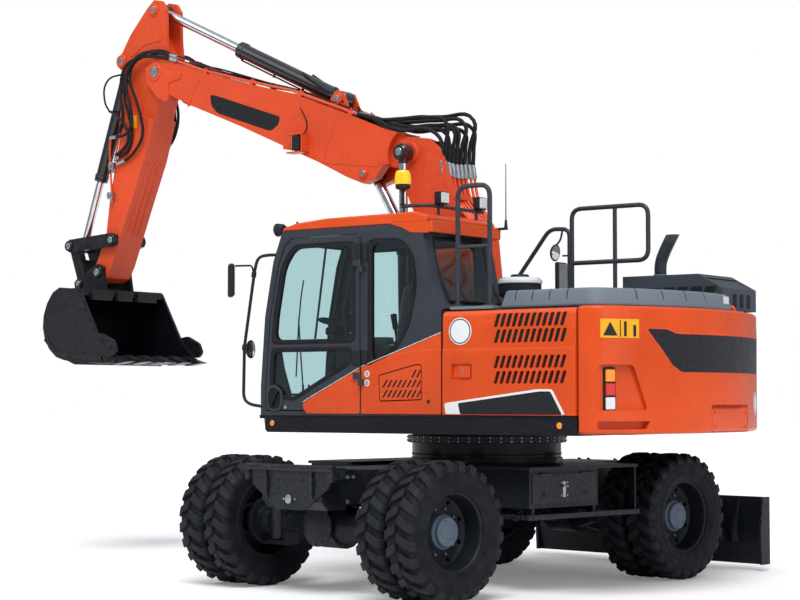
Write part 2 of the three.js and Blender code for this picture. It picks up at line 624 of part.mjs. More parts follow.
function exhaustCover() {
  const low = PANEL_TOP + SEAT * 2 + 24;
  const outer = block(-1930, -1040, -1010, -420, low, 2440);
  const hollow = block(-1900, -1070, -980, -450, low - 10, 2410);
  const slope = plate([[-1700, 2450], [-1935, 2450], [-1935, 2320]], -1100, -300);
  return join(cut(outer, hollow, slope), cut(plate([[-1700, 2440], [-1930, 2313], [-1930, 2283],
    [-1700, 2410]], -1010, -420)));
}

function exhaustPipe() {
  const y = -760;
  const low = 2440 + SEAT;
  const points = [[-1200, y, low], [-1200, y, low + 120], [-1240, y, low + 210], [-1330, y, low + 380]]
    .map((p) => new THREE.Vector3(...p));
  return sweep(points, 52, 12);
}

function leftRail() {
  const y = HALF_W - 80;
  const low = PANEL_TOP + 24 + SEAT * 2;
  const loop = rail([[-535, y, low], [-535, y, 3060], [-825, y, 3060], [-825, y, low]], RAIL_R, 90);
  return join(loop, bar([-535, y, 2600], [-825, y, 2600], RAIL_R - 3, RAIL_R - 3, 8));
}

function rearRail() {
  const y = HOOD_RIGHT - 50;
  const low = PANEL_TOP + 24 + SEAT * 2;
  const loop = rail([[-590, y, low], [-590, y, 3010], [-1300, y, 3010], [-1300, y, 2566], [-590, y, 2566]],
    RAIL_R, 90);
  return join(loop, bar([-995, y, low], [-995, y, 3010], RAIL_R, RAIL_R, 8));
}

function rightRail() {
  const y = -HALF_W + 100;
  const low = TANK_TOP + SEAT;
  return rail([[690, y, low], [690, y, 2220], [110, y, 2940], [-90, y, 2930], [-90, y, low]], RAIL_R, 60);
}

// ---------------------------------------------------------------- cab
const CAB_SIDE = [
  [CAB_REAR + 6, DECK_TOP + SEAT], [CAB_FRONT, DECK_TOP + SEAT], [CAB_FRONT, 1560], [1310, 2120],
  [1225, 2560],
  [1130, CAB_TOP], [-250, CAB_TOP], [-330, 2400], [CAB_REAR - 14, 2140], [CAB_REAR + 6, 2120],
];
const CAB_INSIDE = [
  [CAB_REAR + 60, DECK_TOP + 46], [CAB_FRONT - 50, DECK_TOP + 46], [CAB_FRONT - 50, 1560], [1262, 2110],
  [1180, 2545], [1075, CAB_TOP + 20], [-200, CAB_TOP + 20], [-280, 2390], [CAB_REAR + 60, 2160],
];
const DOOR_SHAPE = [
  [DOOR_REAR, DECK_TOP + 34], [1300, DECK_TOP + 34], [1302, 1560], [1258, 2110], [1172, 2540], [1100, 2700],
  [1030, 2745], [DOOR_REAR, 2745],
];

function inset(points, d) {
  const centre = points.reduce(([a, b], [x, z]) => [a + x / points.length, b + z / points.length], [0, 0]);
  return points.map(([x, z]) => [x + Math.sign(centre[0] - x) * d, z + Math.sign(centre[1] - z) * d]);
}

function cabShell() {
  const y1 = HALF_W - 2;
  const y0 = CAB_INNER_Y;
  const outer = plate(CAB_SIDE, y0, y1);
  const hollow = plate(CAB_INSIDE, y0 + CAB_WALL, y1 - CAB_WALL);
  const doorway = plate(DOOR_SHAPE, y1 - CAB_WALL - 5, y1 + 5);
  const quarter = plate([[250, 1700], [250, 2690], [-60, 2680], [-170, 2560], [-200, 2320], [-130, 2010],
    [0, 1830]],
    y1 - CAB_WALL - 5, y1 + 5);
  const windscreen = wall([[y0 + 90, 1480], [y1 - 90, 1480], [y1 - 90, 2720], [y0 + 90, 2720]], 1000, 1500)
    .intersect(plate([[1450, 1480], [1450, 2720], [1130, 2720], [1000, 2720], [1290, 1480]], y0, y1));
  const rightWindow = plate([[-180, 1900], [1190, 1560], [1180, 2200], [1090, 2560], [1000, 2700],
    [-140, 2700]],
    y0 - 5, y0 + CAB_WALL + 5);
  const rearWindow = wall([[y0 + 110, 2190], [y1 - 110, 2190], [y1 - 110, 2740], [y0 + 110, 2740]], -600,
    -150);
  const hinges = [1560, 2440].map((z) => block(DOOR_REAR - 40, DOOR_REAR + 3, y1 - 2, y1 + 28, z, z + 50));
  return join(cut(outer, hollow, doorway, quarter, windscreen, rightWindow, rearWindow), ...hinges);
}

function cabDoor() {
  const y1 = HALF_W - 2;
  const leaf = plate(inset(DOOR_SHAPE, DOOR_GAP), y1 - CAB_WALL, y1);
  const upper = plate([[400, 1905], [400, 2680], [1010, 2680], [1130, 2520], [1210, 2110], [1228, 1905]],
    y1 - 60, y1 + 5);
  const lower = plate([[430, 1850], [1232, 1850], [1250, 1560], [1190, 1480], [1010, 1450], [430, 1740]],
    y1 - 60, y1 + 5);
  const hinges = [1610, 2490].flatMap((z) => [
    bar([DOOR_REAR, y1 + HINGE_OUT, z + SEAT], [DOOR_REAR, y1 + HINGE_OUT, z + 50], HINGE_OUT - 1,
      HINGE_OUT - 1, 12),
    block(DOOR_REAR, DOOR_REAR + 60, y1 + 6, y1 + 22, z + SEAT, z + 50),
    block(DOOR_REAR + 14, DOOR_REAR + 60, y1 - 2, y1 + 10, z + SEAT, z + 50),
  ]);
  return join(cut(leaf, upper, lower), ...hinges);
}

function cabRoof() {
  const y0 = CAB_INNER_Y - 12;
  const y1 = HALF_W - 12;
  const low = CAB_TOP + SEAT;
  return plate([
    [-290, low], [1150, low], [1130, low + 30], [1000, low + 62], [700, low + ROOF_T - 6],
    [-180, low + ROOF_T], [-300, low + 50],
  ], y0, y1);
}

function seat() {
  const y = (CAB_INNER_Y + HALF_W) / 2;
  const base = DECK_TOP + 46 + SEAT;
  return join(
    block(130, 520, y - 180, y + 180, base, base + 300),
    block(60, 620, y - 250, y + 250, base + 290, base + 430),
    plate([[80, base + 420], [200, base + 420], [90, base + 1130], [-30, base + 1130]], y - 240, y + 240),
  );
}

function steeringColumn() {
  const y = (CAB_INNER_Y + HALF_W) / 2;
  const base = DECK_TOP + 46 + SEAT;
  const head = base + WHEEL_HEIGHT;
  const column = bar([1060, y, base - 2], [902, y, head + 8], 42, 34, 12);
  const foot = block(1000, 1130, y - 70, y + 70, base, base + 60);
  const wheel = bar([904, y, head], [894, y, head + 40], STEERING_R, STEERING_R, 20);
  return join(cut(join(column, foot), block(900, 1200, y - 200, y + 200, base - 60, base)), wheel);
}

// ---------------------------------------------------------------- boom, arm and bucket
function lowerBoom() {
  const [fx, fz] = FOOT;
  const [kx, kz] = KNUCKLE;
  const [ax, az] = ADJUST_BASE;
  const side = [
    [fx - 100, fz - 60], [fx, fz - 112], [fx + 100, fz - 50], [fx + 280, fz + 420], [fx + 440, fz + 880],
    [kx - 10, kz - 420],
    [kx + 120, kz - 100], [kx + 135, kz + 30], [kx + 90, kz + 115], [kx, kz + 140], [kx - 210, kz + 110],
    [kx - 330, kz + 10],
    [kx - 400, kz - 300], [fx + 60, fz + 980], [fx - 90, fz + 320],
  ];
  const body = plate(side, -LOWER_HALF, LOWER_HALF);
  const forkCut = cross(KNUCKLE, -UPPER_BOSS_HALF - SIDE_PLAY, UPPER_BOSS_HALF + SIDE_PLAY, 330, 32);
  const pin = cross(KNUCKLE, -LOWER_HALF + 2, LOWER_HALF - 2, PIN_R + 5);
  const bore = cross(FOOT, -LOWER_HALF - 9, LOWER_HALF + 9, PIN_R + 8 + PIN_PLAY);
  const ears = [-1, 1].map((s) => plate([
    [ax - 240, az - 180], [ax - 20, az - 80], [ax + 60, az - 40], [ax + 75, az + 20], [ax + 10, az + 78],
    [ax - 85, az + 250],
  ], s > 0 ? 66 : -94, s > 0 ? 94 : -66));
  const adjustPin = cross(ADJUST_BASE, -90, 90, PIN_R);
  return join(cut(body, forkCut, bore), pin, ...ears, adjustPin);
}

function upperBoom() {
  const [kx, kz] = KNUCKLE;
  const [tx, tz] = TIP;
  const side = [
    [820, 3440], [930, 3440], [1024, 3330], [1148, 3290], [1330, 3360], [1617, 3500], [1952, 3645],
    [2529, 3897], [3176, 4157],
    [tx - 150, tz - 215], [tx, tz - 130], [tx + 95, tz - 60], [tx + 110, tz + 30], [tx + 40, tz + 110],
    [tx - 110, tz + 110],
    [3010, 4435], [2531, 4295], [1953, 4145], [1399, 3936], [900, 3730], [780, 3700],
  ];
  const body = plate(side, -UPPER_HALF, UPPER_HALF);
  const bossShape = [[1000, 3440], [kx + 60, kz - 125], [kx - 60, kz - 125], [kx - 130, kz - 50],
    [kx - 135, kz + 50], [kx - 60, kz + 130],
    [kx + 80, kz + 160], [1000, 3740]];
  const boss = plate(bossShape, -UPPER_BOSS_HALF, UPPER_BOSS_HALF);
  const clear = [-1, 1].map((s) => cross(KNUCKLE, s > 0 ? UPPER_BOSS_HALF : -UPPER_HALF - 40,
    s > 0 ? UPPER_HALF + 40 : -UPPER_BOSS_HALF, 215, 32));
  const knuckleBore = cross(KNUCKLE, -200, 200, PIN_R + 5 + PIN_PLAY);
  const forkHalf = ARM_BOSS_HALF + SIDE_PLAY;
  const forkCut = join(cross(TIP, -forkHalf, forkHalf, 265, 32), plate([
    [tx, tz], [tx - TIP_FORK_R + 25, tz - 130], [tx - TIP_FORK_R, tz - 160], [tx - TIP_FORK_R, tz - 420],
    [tx, tz - 420],
  ], -forkHalf, forkHalf));
  const tipPin = cross(TIP, -UPPER_HALF + 2, UPPER_HALF - 2, PIN_R);
  const recess = plate([[850, 3300], [850, 3400], [1010, 3560], [1240, 3560], [1330, 3420], [1250, 3200],
    [900, 3200]], -75, 75);
  const [bx, bz] = ARM_CYL_BASE;
  const ears = [-1, 1].map((s) => plate([
    [bx - 220, bz - 300], [bx - 60, bz + 50], [bx, bz + 75], [bx + 60, bz + 50], [bx + 85, bz - 20],
    [bx + 200, bz - 200],
  ], s > 0 ? 66 : -92, s > 0 ? 92 : -66));
  const basePin = cross(ARM_CYL_BASE, -88, 88, PIN_R);
  return join(cut(join(cut(body, ...clear), boss), knuckleBore, forkCut, recess), tipPin, ...ears, basePin);
}

function arm() {
  const [tx, tz] = TIP;
  const [cx, cz] = ARM_CYL_EYE;
  const [px, pz] = BUCKET_CYL_BASE;
  const [bx, bz] = BUCKET_PIN;
  const upper = [
    [cx - 150, cz - 10], [cx - 95, cz + 72], [cx, cz + 92], [cx + 90, cz + 20], [3973, 4900], [px, pz + 75],
    [px + 70, pz + 30], [px + 62, pz - 40], [px, pz - 90], [tx + 330, tz - 100], [tx + 60, tz - 135],
    [tx - 60, tz - 118], [tx - 128, tz - 30],
    [tx - 120, tz + 60], [tx - 90, tz + 300],
  ];
  const lower = [
    [tx + 20, tz - 80], [tx + 430, tz - 60], [4066, 3928], [4194, 3352], [4240, 3010], [bx + 70, bz + 60],
    [bx + 92, bz],
    [bx + 60, bz - 70], [bx, bz - 95], [bx - 80, bz - 55], [bx - 150, bz + 60], [3905, 3334], [3750, 3693],
    [3600, 4180], [tx - 60, tz - 150],
  ];
  const body = join(
    plate(upper, -ARM_BOSS_HALF, ARM_BOSS_HALF),
    plate(lower, -ARM_BOSS_HALF, ARM_BOSS_HALF),
    cut(plate(lower, -ARM_HALF, ARM_HALF), cross(TIP, -ARM_HALF - 5, ARM_HALF + 5, TIP_FORK_R + RUN, 32)),
  );
  const tipBore = cross(TIP, -200, 200, PIN_R + PIN_PLAY);
  const bucketBore = cross(BUCKET_PIN, -200, 200, PIN_R - 4 + PIN_PLAY);
  const guideBore = cross(GUIDE_PIN, -200, 200, PIN_R - 8 + PIN_PLAY);
  const eyeCut = cross(ARM_CYL_EYE, -78, 78, 150, 24);
  const slot = plate([
    [cx - 420, cz + 130], [cx + 40, cz + 130], [cx + 60, cz - 110], [tx + 10, tz + 330],
    [tx - 70, tz + 140], [tx - 260, tz + 140],
  ], -78, 78);
  const bucketSlot = cross(BUCKET_CYL_BASE, -70, 70, 92, 24);
  const slotFront = plate([[px, pz + 120], [px + 200, pz + 120], [px + 200, pz - 260], [px - 40, pz - 260],
    [px - 60, pz]], -70, 70);
  const basePin = cross(BUCKET_CYL_BASE, -90, 90, PIN_R - 6);
  return join(cut(body, tipBore, bucketBore, guideBore, eyeCut, slot, bucketSlot, slotFront), basePin);
}

function guideLink() {
  const [ax, az] = GUIDE_PIN;
  const [ex, ez] = LINK_PIN;
  const make = (y0, y1) => plate([
    [ax - 50, az - 45], [ax + 10, az - 65], [ex, ez - 62], [ex + 55, ez - 25], [ex + 55, ez + 30],
    [ex, ez + 62], [ax + 10, az + 65], [ax - 50, az + 45],
  ], y0, y1);
  const inner = ARM_HALF + SIDE_PLAY;
  const sides = [make(inner, inner + 42), make(-inner - 42, -inner)];
  const stubs = [[84, inner + 20], [-inner - 20, -84]].map(([y0, y1]) => cross(LINK_PIN, y0, y1, PIN_R - 8));
  return join(...sides, cross(GUIDE_PIN, -inner - 20, inner + 20, PIN_R - 8), ...stubs);
}

function bucketLink() {
  const [ex, ez] = LINK_PIN;
  const [bx, bz] = BUCKET_EAR;
  const half = ARM_HALF - 2;
  const side = [
    [ex - 62, ez + 20], [ex - 30, ez + 58], [ex + 30, ez + 58], [ex + 62, ez + 10], [bx + 50, bz - 16],
    [bx + 18, bz - 48], [bx - 24, bz - 46], [bx - 50, bz],
  ];
  const body = plate(side, -half, half);
  const middle = plate([[ex - 160, ez + 120], [ex + 160, ez + 120], [ex + 110, ez - 130],
    [ex - 180, ez - 130]], -78, 78);
  const bore = cross(LINK_PIN, -300, 300, PIN_R - 8 + PIN_PLAY);
  return cut(body, middle, bore);
}

function bucket() {
  const [bx, bz] = BUCKET_PIN;
  const outer = new THREE.Shape();
  outer.moveTo(4440, 2500);
  outer.lineTo(4530, 2455);
  outer.bezierCurveTo(4720, 2260, 4700, 1980, 4480, 1850);
  outer.bezierCurveTo(4330, 1790, 4100, 1780, 3740, 1800);
  outer.lineTo(3740, 1830);
  outer.lineTo(3900, 1990);
  outer.lineTo(4170, 2470);
  outer.closePath();
  const inner = new THREE.Shape();
  inner.moveTo(4425, 2470);
  inner.lineTo(4508, 2430);
  inner.bezierCurveTo(4690, 2250, 4672, 2000, 4465, 1876);
  inner.bezierCurveTo(4330, 1818, 4100, 1810, 3700, 1830);
  inner.lineTo(3600, 1990);
  inner.lineTo(4000, 2600);
  inner.lineTo(4220, 2470);
  inner.closePath();
  const body = cut(plate(outer, -BUCKET_HALF, BUCKET_HALF, 6),
    plate(inner, -BUCKET_HALF + BUCKET_SHELL, BUCKET_HALF - BUCKET_SHELL, 6));
  const teeth = [];
  for (let i = 0; i < 5; i += 1) {
    const y = (i - 2) * (BUCKET_HALF * 2 - 140) / 4;
    teeth.push(plate([[3560, 1797], [3760, 1770], [3820, 1795], [3820, 1835], [3740, 1845]], y - 45, y + 45));
  }
  const clearance = ARM_HALF + SIDE_PLAY;
  const ears = [-1, 1].map((s) => plate([
    [4200, 2440], [bx - 75, bz - 30], [bx - 70, bz + 50], [bx, bz + 82], [bx + 75, bz + 45], [4480, 2650],
    [BUCKET_EAR[0], BUCKET_EAR[1] + 68], [BUCKET_EAR[0] + 68, BUCKET_EAR[1] + 10], [4590, 2400], [4500, 2500],
  ], s > 0 ? clearance : -clearance - 34, s > 0 ? clearance + 34 : -clearance));
  const top = block(4180, 4455, -BUCKET_HALF + 5, BUCKET_HALF - 5, 2462, 2488);
  const pin = cross(BUCKET_PIN, -clearance - 12, clearance + 12, PIN_R - 4);
  return join(body, top, ...teeth, ...ears, pin);
}

// ---------------------------------------------------------------- assembly
const undercarriage = new THREE.Group();
const upper = new THREE.Group();
undercarriage.rotation.z = THREE.MathUtils.degToRad(SLEW_ANGLE);

const axles = { f: FRONT_AXLE_X, r: REAR_AXLE_X };
const sides = { l: 1, r: -1 };
undercarriage.add(
  piece('chassis_frame', chassisFrame(), 'navy'),
  piece('slew_ring', slewRing(), 'navy'),
  piece('front_axle', frontAxle(), 'navy'),
  piece('rear_axle', rearAxle(), 'navy'),
  piece('drive_line', driveLine(), 'navy'),
  piece('toolbox_left', toolbox(1), 'navy'),
  piece('toolbox_right', toolbox(-1), 'navy'),
  piece('knuckle_left', knuckle(1), 'navy'),
  piece('knuckle_right', knuckle(-1), 'navy'),
  piece('dozer_blade', dozerBlade(), 'navy'),
);
for (const [end, x] of Object.entries(axles)) {
  for (const [name, side] of Object.entries(sides)) {
    undercarriage.add(piece(`tyres_${end}${name}`, wheelAt(twinTyres(), x, side), 'tyre'));
    undercarriage.add(piece(`rim_${end}${name}`, wheelAt(twinRim(), x, side), 'navy'));
  }
}
const bladeStroke = distance(BLADE_CYL_BASE, BLADE_CYL_EYE);
for (const [name, side] of Object.entries(sides)) {
  const y = side * BLADE_CYL_Y;
  undercarriage.add(piece(`blade_barrel_${name}`,
    barrel(BLADE_CYL_BASE, BLADE_CYL_EYE, y, 42, 24, bladeStroke * 0.655, 44, 36, 24), 'navy'));
  undercarriage.add(piece(`blade_rod_${name}`,
    rodWithEye(BLADE_CYL_BASE, BLADE_CYL_EYE, y, 24, bladeStroke * 0.55, 40, 33), 'chrome'));
}

upper.add(
  piece('upper_frame', upperFrame(), 'navy'),
  piece('counterweight', counterweight(), 'orange'),
  piece('side_door_left', sideDoor(1), 'orange'),
  piece('side_door_right', sideDoor(-1), 'orange'),
  piece('tank_right', rightTank(), 'orange'),
  piece('engine_block', engineBlock(), 'grey'),
  piece('engine_hood', engineHood(), 'grey'),
  piece('top_cover', topCover(), 'grey'),
  piece('exhaust_cover', exhaustCover(), 'grey'),
  piece('exhaust_pipe', exhaustPipe(), 'charcoal'),
  piece('rail_left', leftRail(), 'charcoal'),
  piece('rail_rear', rearRail(), 'charcoal'),
  piece('rail_right', rightRail(), 'charcoal'),
  piece('cab_shell', cabShell(), 'charcoal'),
  piece('cab_door', cabDoor(), 'charcoal'),
  piece('cab_roof', cabRoof(), 'orange'),
  piece('operator_seat', seat(), 'seat'),
  piece('steering_column', steeringColumn(), 'charcoal'),
  piece('lower_boom', lowerBoom(), 'orange'),
  piece('upper_boom', upperBoom(), 'orange'),
  piece('arm', arm(), 'orange'),
  piece('bucket', bucket(), 'navy'),
  piece('guide_link', guideLink(), 'navy'),
  piece('bucket_link', bucketLink(), 'navy'),
);
const liftLength = distance(LIFT_BASE, KNUCKLE);
for (const [name, side] of Object.entries({ left: 1, right: -1 })) {
  upper.add(piece(`lift_barrel_${name}`,
    barrel(LIFT_BASE, KNUCKLE, side * LIFT_Y, 56, 36, liftLength * 0.62, 72, 48, PIN_R), 'navy'));
  upper.add(piece(`lift_rod_${name}`,
    rodWithEye(LIFT_BASE, KNUCKLE, side * LIFT_Y, 36, liftLength * 0.62, 72, 48), 'chrome'));
}
const adjustLength = distance(ADJUST_BASE, ADJUST_EYE);
const armCylinder = distance(ARM_CYL_BASE, ARM_CYL_EYE);
const bucketCylinder = distance(BUCKET_CYL_BASE, LINK_PIN);
upper.add(
  piece('adjust_barrel', barrel(ADJUST_BASE, ADJUST_EYE, 0, 80, 44, adjustLength * 0.66, 82, 60, PIN_R),
    'navy'),
  piece('adjust_rod', rodWithEye(ADJUST_BASE, ADJUST_EYE, 0, 44, adjustLength * 0.6, 72, 62), 'chrome'),
  piece('arm_barrel', barrel(ARM_CYL_BASE, ARM_CYL_EYE, 0, 68, 42, armCylinder * 0.55, 74, 60, PIN_R),
    'navy'),
  piece('arm_rod', rodWithEye(ARM_CYL_BASE, ARM_CYL_EYE, 0, 42, armCylinder * 0.7, 72, 62), 'chrome'),
  piece('bucket_barrel', barrel(BUCKET_CYL_BASE, LINK_PIN, 0, 58, 36, bucketCylinder * 0.64, 66, 58,
    PIN_R - 6), 'navy'),
  piece('bucket_rod', rodWithEye(BUCKET_CYL_BASE, LINK_PIN, 0, 36, bucketCylinder * 0.6, 60, 62), 'chrome'),
);

const machine = new THREE.Group();
machine.add(undercarriage, upper);

/** The whole machine stands with the middle of its footprint on the origin. */
const group = new THREE.Group();
machine.updateMatrixWorld(true);
const box = new THREE.Box3().setFromObject(machine, true);
machine.position.set(-(box.min.x + box.max.x) / 2, -(box.min.y + box.max.y) / 2, -box.min.z);
group.add(machine);

export default group;
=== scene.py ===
"""Wheeled excavator with a two-piece boom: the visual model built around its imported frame."""

import json
import logging
import math
import random
from dataclasses import dataclass, field
from enum import Enum
from typing import Sequence

import bpy
from mathutils import Matrix, Vector


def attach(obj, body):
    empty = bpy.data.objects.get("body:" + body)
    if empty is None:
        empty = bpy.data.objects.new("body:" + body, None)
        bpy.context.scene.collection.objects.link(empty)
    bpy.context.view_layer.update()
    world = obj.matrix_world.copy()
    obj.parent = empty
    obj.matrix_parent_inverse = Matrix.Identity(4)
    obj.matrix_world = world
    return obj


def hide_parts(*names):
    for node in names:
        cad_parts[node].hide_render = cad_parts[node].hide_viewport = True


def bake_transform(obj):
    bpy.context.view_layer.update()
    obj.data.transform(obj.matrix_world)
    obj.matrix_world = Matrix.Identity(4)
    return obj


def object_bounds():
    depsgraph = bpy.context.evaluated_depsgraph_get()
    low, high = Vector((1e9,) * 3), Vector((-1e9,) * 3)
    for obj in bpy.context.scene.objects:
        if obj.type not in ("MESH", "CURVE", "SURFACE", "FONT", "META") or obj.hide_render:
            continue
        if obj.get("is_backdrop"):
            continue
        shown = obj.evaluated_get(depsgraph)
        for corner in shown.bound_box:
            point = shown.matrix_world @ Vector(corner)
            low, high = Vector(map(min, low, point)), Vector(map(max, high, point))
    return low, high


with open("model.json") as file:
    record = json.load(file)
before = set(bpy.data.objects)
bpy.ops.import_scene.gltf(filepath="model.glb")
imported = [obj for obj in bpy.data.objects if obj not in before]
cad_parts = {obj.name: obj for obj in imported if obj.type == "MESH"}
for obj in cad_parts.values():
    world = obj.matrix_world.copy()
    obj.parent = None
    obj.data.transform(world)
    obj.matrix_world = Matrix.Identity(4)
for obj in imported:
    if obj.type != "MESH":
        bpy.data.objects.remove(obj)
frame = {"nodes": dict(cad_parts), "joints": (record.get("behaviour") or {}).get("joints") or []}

LOG = logging.getLogger("excavator")
MM = 0.001
SEED = 7
AXLE = 509.0
SIDES = (("left", 1), ("right", -1))
WHITE = (1.0, 1.0, 1.0, 1.0)

Point = Sequence[float]
Outline = Sequence[Sequence[float]]


# ------------------------------------------------------------------ places
class Plane(Enum):
    """Plane that an outline is drawn in."""

    XZ = "xz"
    XY = "xy"
    YZ = "yz"


class Deck(Enum):
    """Structure whose own axes a piece is drawn in."""

    UPPER = "upper"
    UNDER = "under"


@dataclass(frozen=True)
class Site:
    """Axes of the two structures in the row frame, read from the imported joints.

    Attributes:
        origin: Point of the ground under the slewing axis.
        angle: Turn from the upper structure to the undercarriage, in radians.
    """

    origin: Vector
    angle: float

    @classmethod
    def read(cls) -> "Site":
        """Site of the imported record.

        Returns:
            The site with its origin under the slew joint.
        """
        joints = {j["name"]: j for j in frame["joints"]}
        x, y, _ = joints["slew"]["pos_m"]
        ax, ay, _ = joints["blade_lift"]["axis"]
        return cls(Vector((x, y, 0.0)), math.atan2(-ax, ay))

    def matrix(self, deck: Deck) -> Matrix:
        """Transform from a structure's axes to the row frame."""
        shift = Matrix.Translation(self.origin)
        return shift if deck is Deck.UPPER else shift @ Matrix.Rotation(self.angle, 4, "Z")


SITE = Site.read()


# ------------------------------------------------------------------ node trees
class Tree:
    """Small wrapper that lays out the nodes of one material or world."""

    def __init__(self, owner: bpy.types.ID, output: str = "OutputMaterial") -> None:
        """Clears the nodes and adds an output.

        Args:
            owner: Material or world.
            output: Type of its output node.
        """
        self.owner = owner
        owner.use_nodes = True
        self.nodes, self.links = owner.node_tree.nodes, owner.node_tree.links
        self.nodes.clear()
        self.output = self.add(output)
        self.place = self.add("TexCoord")
        self.coords = self.place.outputs["Object"]

    def add(self, kind: str, settings: dict | None = None, **inputs: object) -> bpy.types.Node:
        """Adds a node.

        Args:
            kind: Node type without its ShaderNode prefix.
            settings: Properties of the node itself.
            **inputs: Values or sockets by input name, with underscores for spaces, or by number, as in i0.

        Returns:
            The new node.
        """
        node = self.nodes.new("ShaderNode" + kind)
        for key, value in (settings or {}).items():
            setattr(node, key, value)
        for key, value in inputs.items():
            numbered = key[0] == "i" and key[1:].isdigit()
            socket = node.inputs[int(key[1:]) if numbered else key.replace("_", " ")]
            if isinstance(value, bpy.types.NodeSocket):
                self.links.new(value, socket)
            else:
                socket.default_value = value
        return node

    def noise(self, scale: float, detail: float = 3.0, roughness: float = 0.55,
              vector: bpy.types.NodeSocket | None = None) -> bpy.types.NodeSocket:
        """Noise over the object's own coordinates."""
        return self.add("TexNoise", Vector=vector or self.coords, Scale=scale, Detail=detail,
                        Roughness=roughness).outputs["Fac"]

    def ramp(self, value: bpy.types.NodeSocket, low: float, high: float,
             first: float = 0.0, last: float = 1.0) -> bpy.types.NodeSocket:
        """Value mapped from low..high to first..last, clamped."""
        return self.add("MapRange", Value=value, From_Min=low, From_Max=high, To_Min=first,
                        To_Max=last).outputs["Result"]

    def mix(self, factor: bpy.types.NodeSocket | float, a: object, b: object) -> bpy.types.NodeSocket:
        """Colour mix of a and b."""
        return self.add("Mix", {"data_type": "RGBA"}, i0=factor, i6=a, i7=b).outputs[2]

    def math(self, operation: str, a: object, b: object = 0.0) -> bpy.types.NodeSocket:
        """One math node."""
        return self.add("Math", {"operation": operation}, i0=a, i1=b).outputs[0]

    def edges(self, width: float = 0.06) -> bpy.types.NodeSocket:
        """Mask of convex edges."""
        point = self.add("NewGeometry").outputs["Pointiness"]
        return self.ramp(point, 0.5 + width * 0.35, 0.5 + width)

    def height(self) -> bpy.types.NodeSocket:
        """Height over the ground, in metres."""
        return self.add("SeparateXYZ", Vector=self.coords).outputs["Z"]

    def bump(self, height: bpy.types.NodeSocket, strength: float, distance: float) -> bpy.types.NodeSocket:
        """Normal of a bump."""
        return self.add("Bump", Height=height, Strength=strength, Distance=distance).outputs["Normal"]

    def close(self, shader: bpy.types.Node) -> bpy.types.ID:
        """Links the shader to the output and returns the material or world."""
        self.links.new(shader.outputs[0], self.output.inputs["Surface"])
        return self.owner


def rgb(code: str) -> tuple[float, float, float, float]:
    """Linear colour of an sRGB hex code.

    Args:
        code: Six hex digits.

    Returns:
        Red, green, blue and alpha.
    """
    values = [int(code[i:i + 2], 16) / 255 for i in (0, 2, 4)]
    return (*[v / 12.92 if v <= 0.04045 else ((v + 0.055) / 1.055) ** 2.4 for v in values], 1.0)


def toned(colour: Sequence[float], gain: float, lift: float = 0.0) -> tuple[float, float, float, float]:
    """Lighter or darker tone of a linear colour."""
    return (*[min(1.0, c * gain + lift) for c in colour[:3]], 1.0)


@dataclass(frozen=True)
class Surface:
    """What every finish has.

    Attributes:
        name: Name of the material.
        slot: Material slot of the record; not used.
        colour: Hex code.
    """

    name: str
    slot: str
    colour: str

    def build(self) -> bpy.types.Material:
        """Node material of the finish.

        Returns:
            The material.
        """
        return self.close_up(Tree(bpy.data.materials.new(self.name)), rgb(self.colour))

    def close_up(self, t: Tree, base: Point) -> bpy.types.Material:
        """Lays the nodes out, from the base colour to the output."""
        raise NotImplementedError


@dataclass(frozen=True)
class Paint(Surface):
    """Sprayed paint on steel or a moulding.

    Attributes:
        roughness: Mean roughness.
        coat: Weight of the clear coat.
        peel: Strength of the fine surface bump.
        grain: Scale of the fine surface bump.
        wear: How much the edges lighten.
        dust: How much dust lies near the ground.
        metallic: Share of bare metal.
        gleam: Level of the mirror reflection.
    """

    roughness: float = 0.35
    coat: float = 0.0
    peel: float = 0.03
    grain: float = 260.0
    wear: float = 0.12
    dust: float = 0.0
    metallic: float = 0.0
    gleam: float = 0.28

    def close_up(self, t: Tree, base: Point) -> bpy.types.Material:
        """Lays the nodes out, from the base colour to the output."""
        colour = t.mix(t.ramp(t.noise(1.6, 4.0), 0.3, 0.7), toned(base, 0.86), toned(base, 1.1, 0.004))
        scuffs = t.math("MULTIPLY", t.edges(), t.ramp(t.noise(38.0, 5.0), 0.35, 0.65))
        colour = t.mix(t.math("MULTIPLY", scuffs, self.wear), colour, toned(base, 1.25, 0.035))
        if self.dust:
            low = t.ramp(t.height(), 1.15, 0.0)
            patches = t.math("MULTIPLY", low, t.ramp(t.noise(5.0, 6.0), 0.42, 0.75))
            colour = t.mix(t.math("MULTIPLY", patches, self.dust), colour, rgb("6d665c"))
        rough = t.ramp(t.noise(7.0, 4.0), 0.3, 0.7, self.roughness * 0.85, min(1.0, self.roughness * 1.2))
        fine = t.bump(t.noise(self.grain, 2.0), self.peel, 0.002)
        return t.close(t.add("BsdfPrincipled", Base_Color=colour, Roughness=rough, Metallic=self.metallic,
                             Specular_IOR_Level=self.gleam, Coat_Weight=self.coat, Coat_Roughness=0.08,
                             Normal=fine))


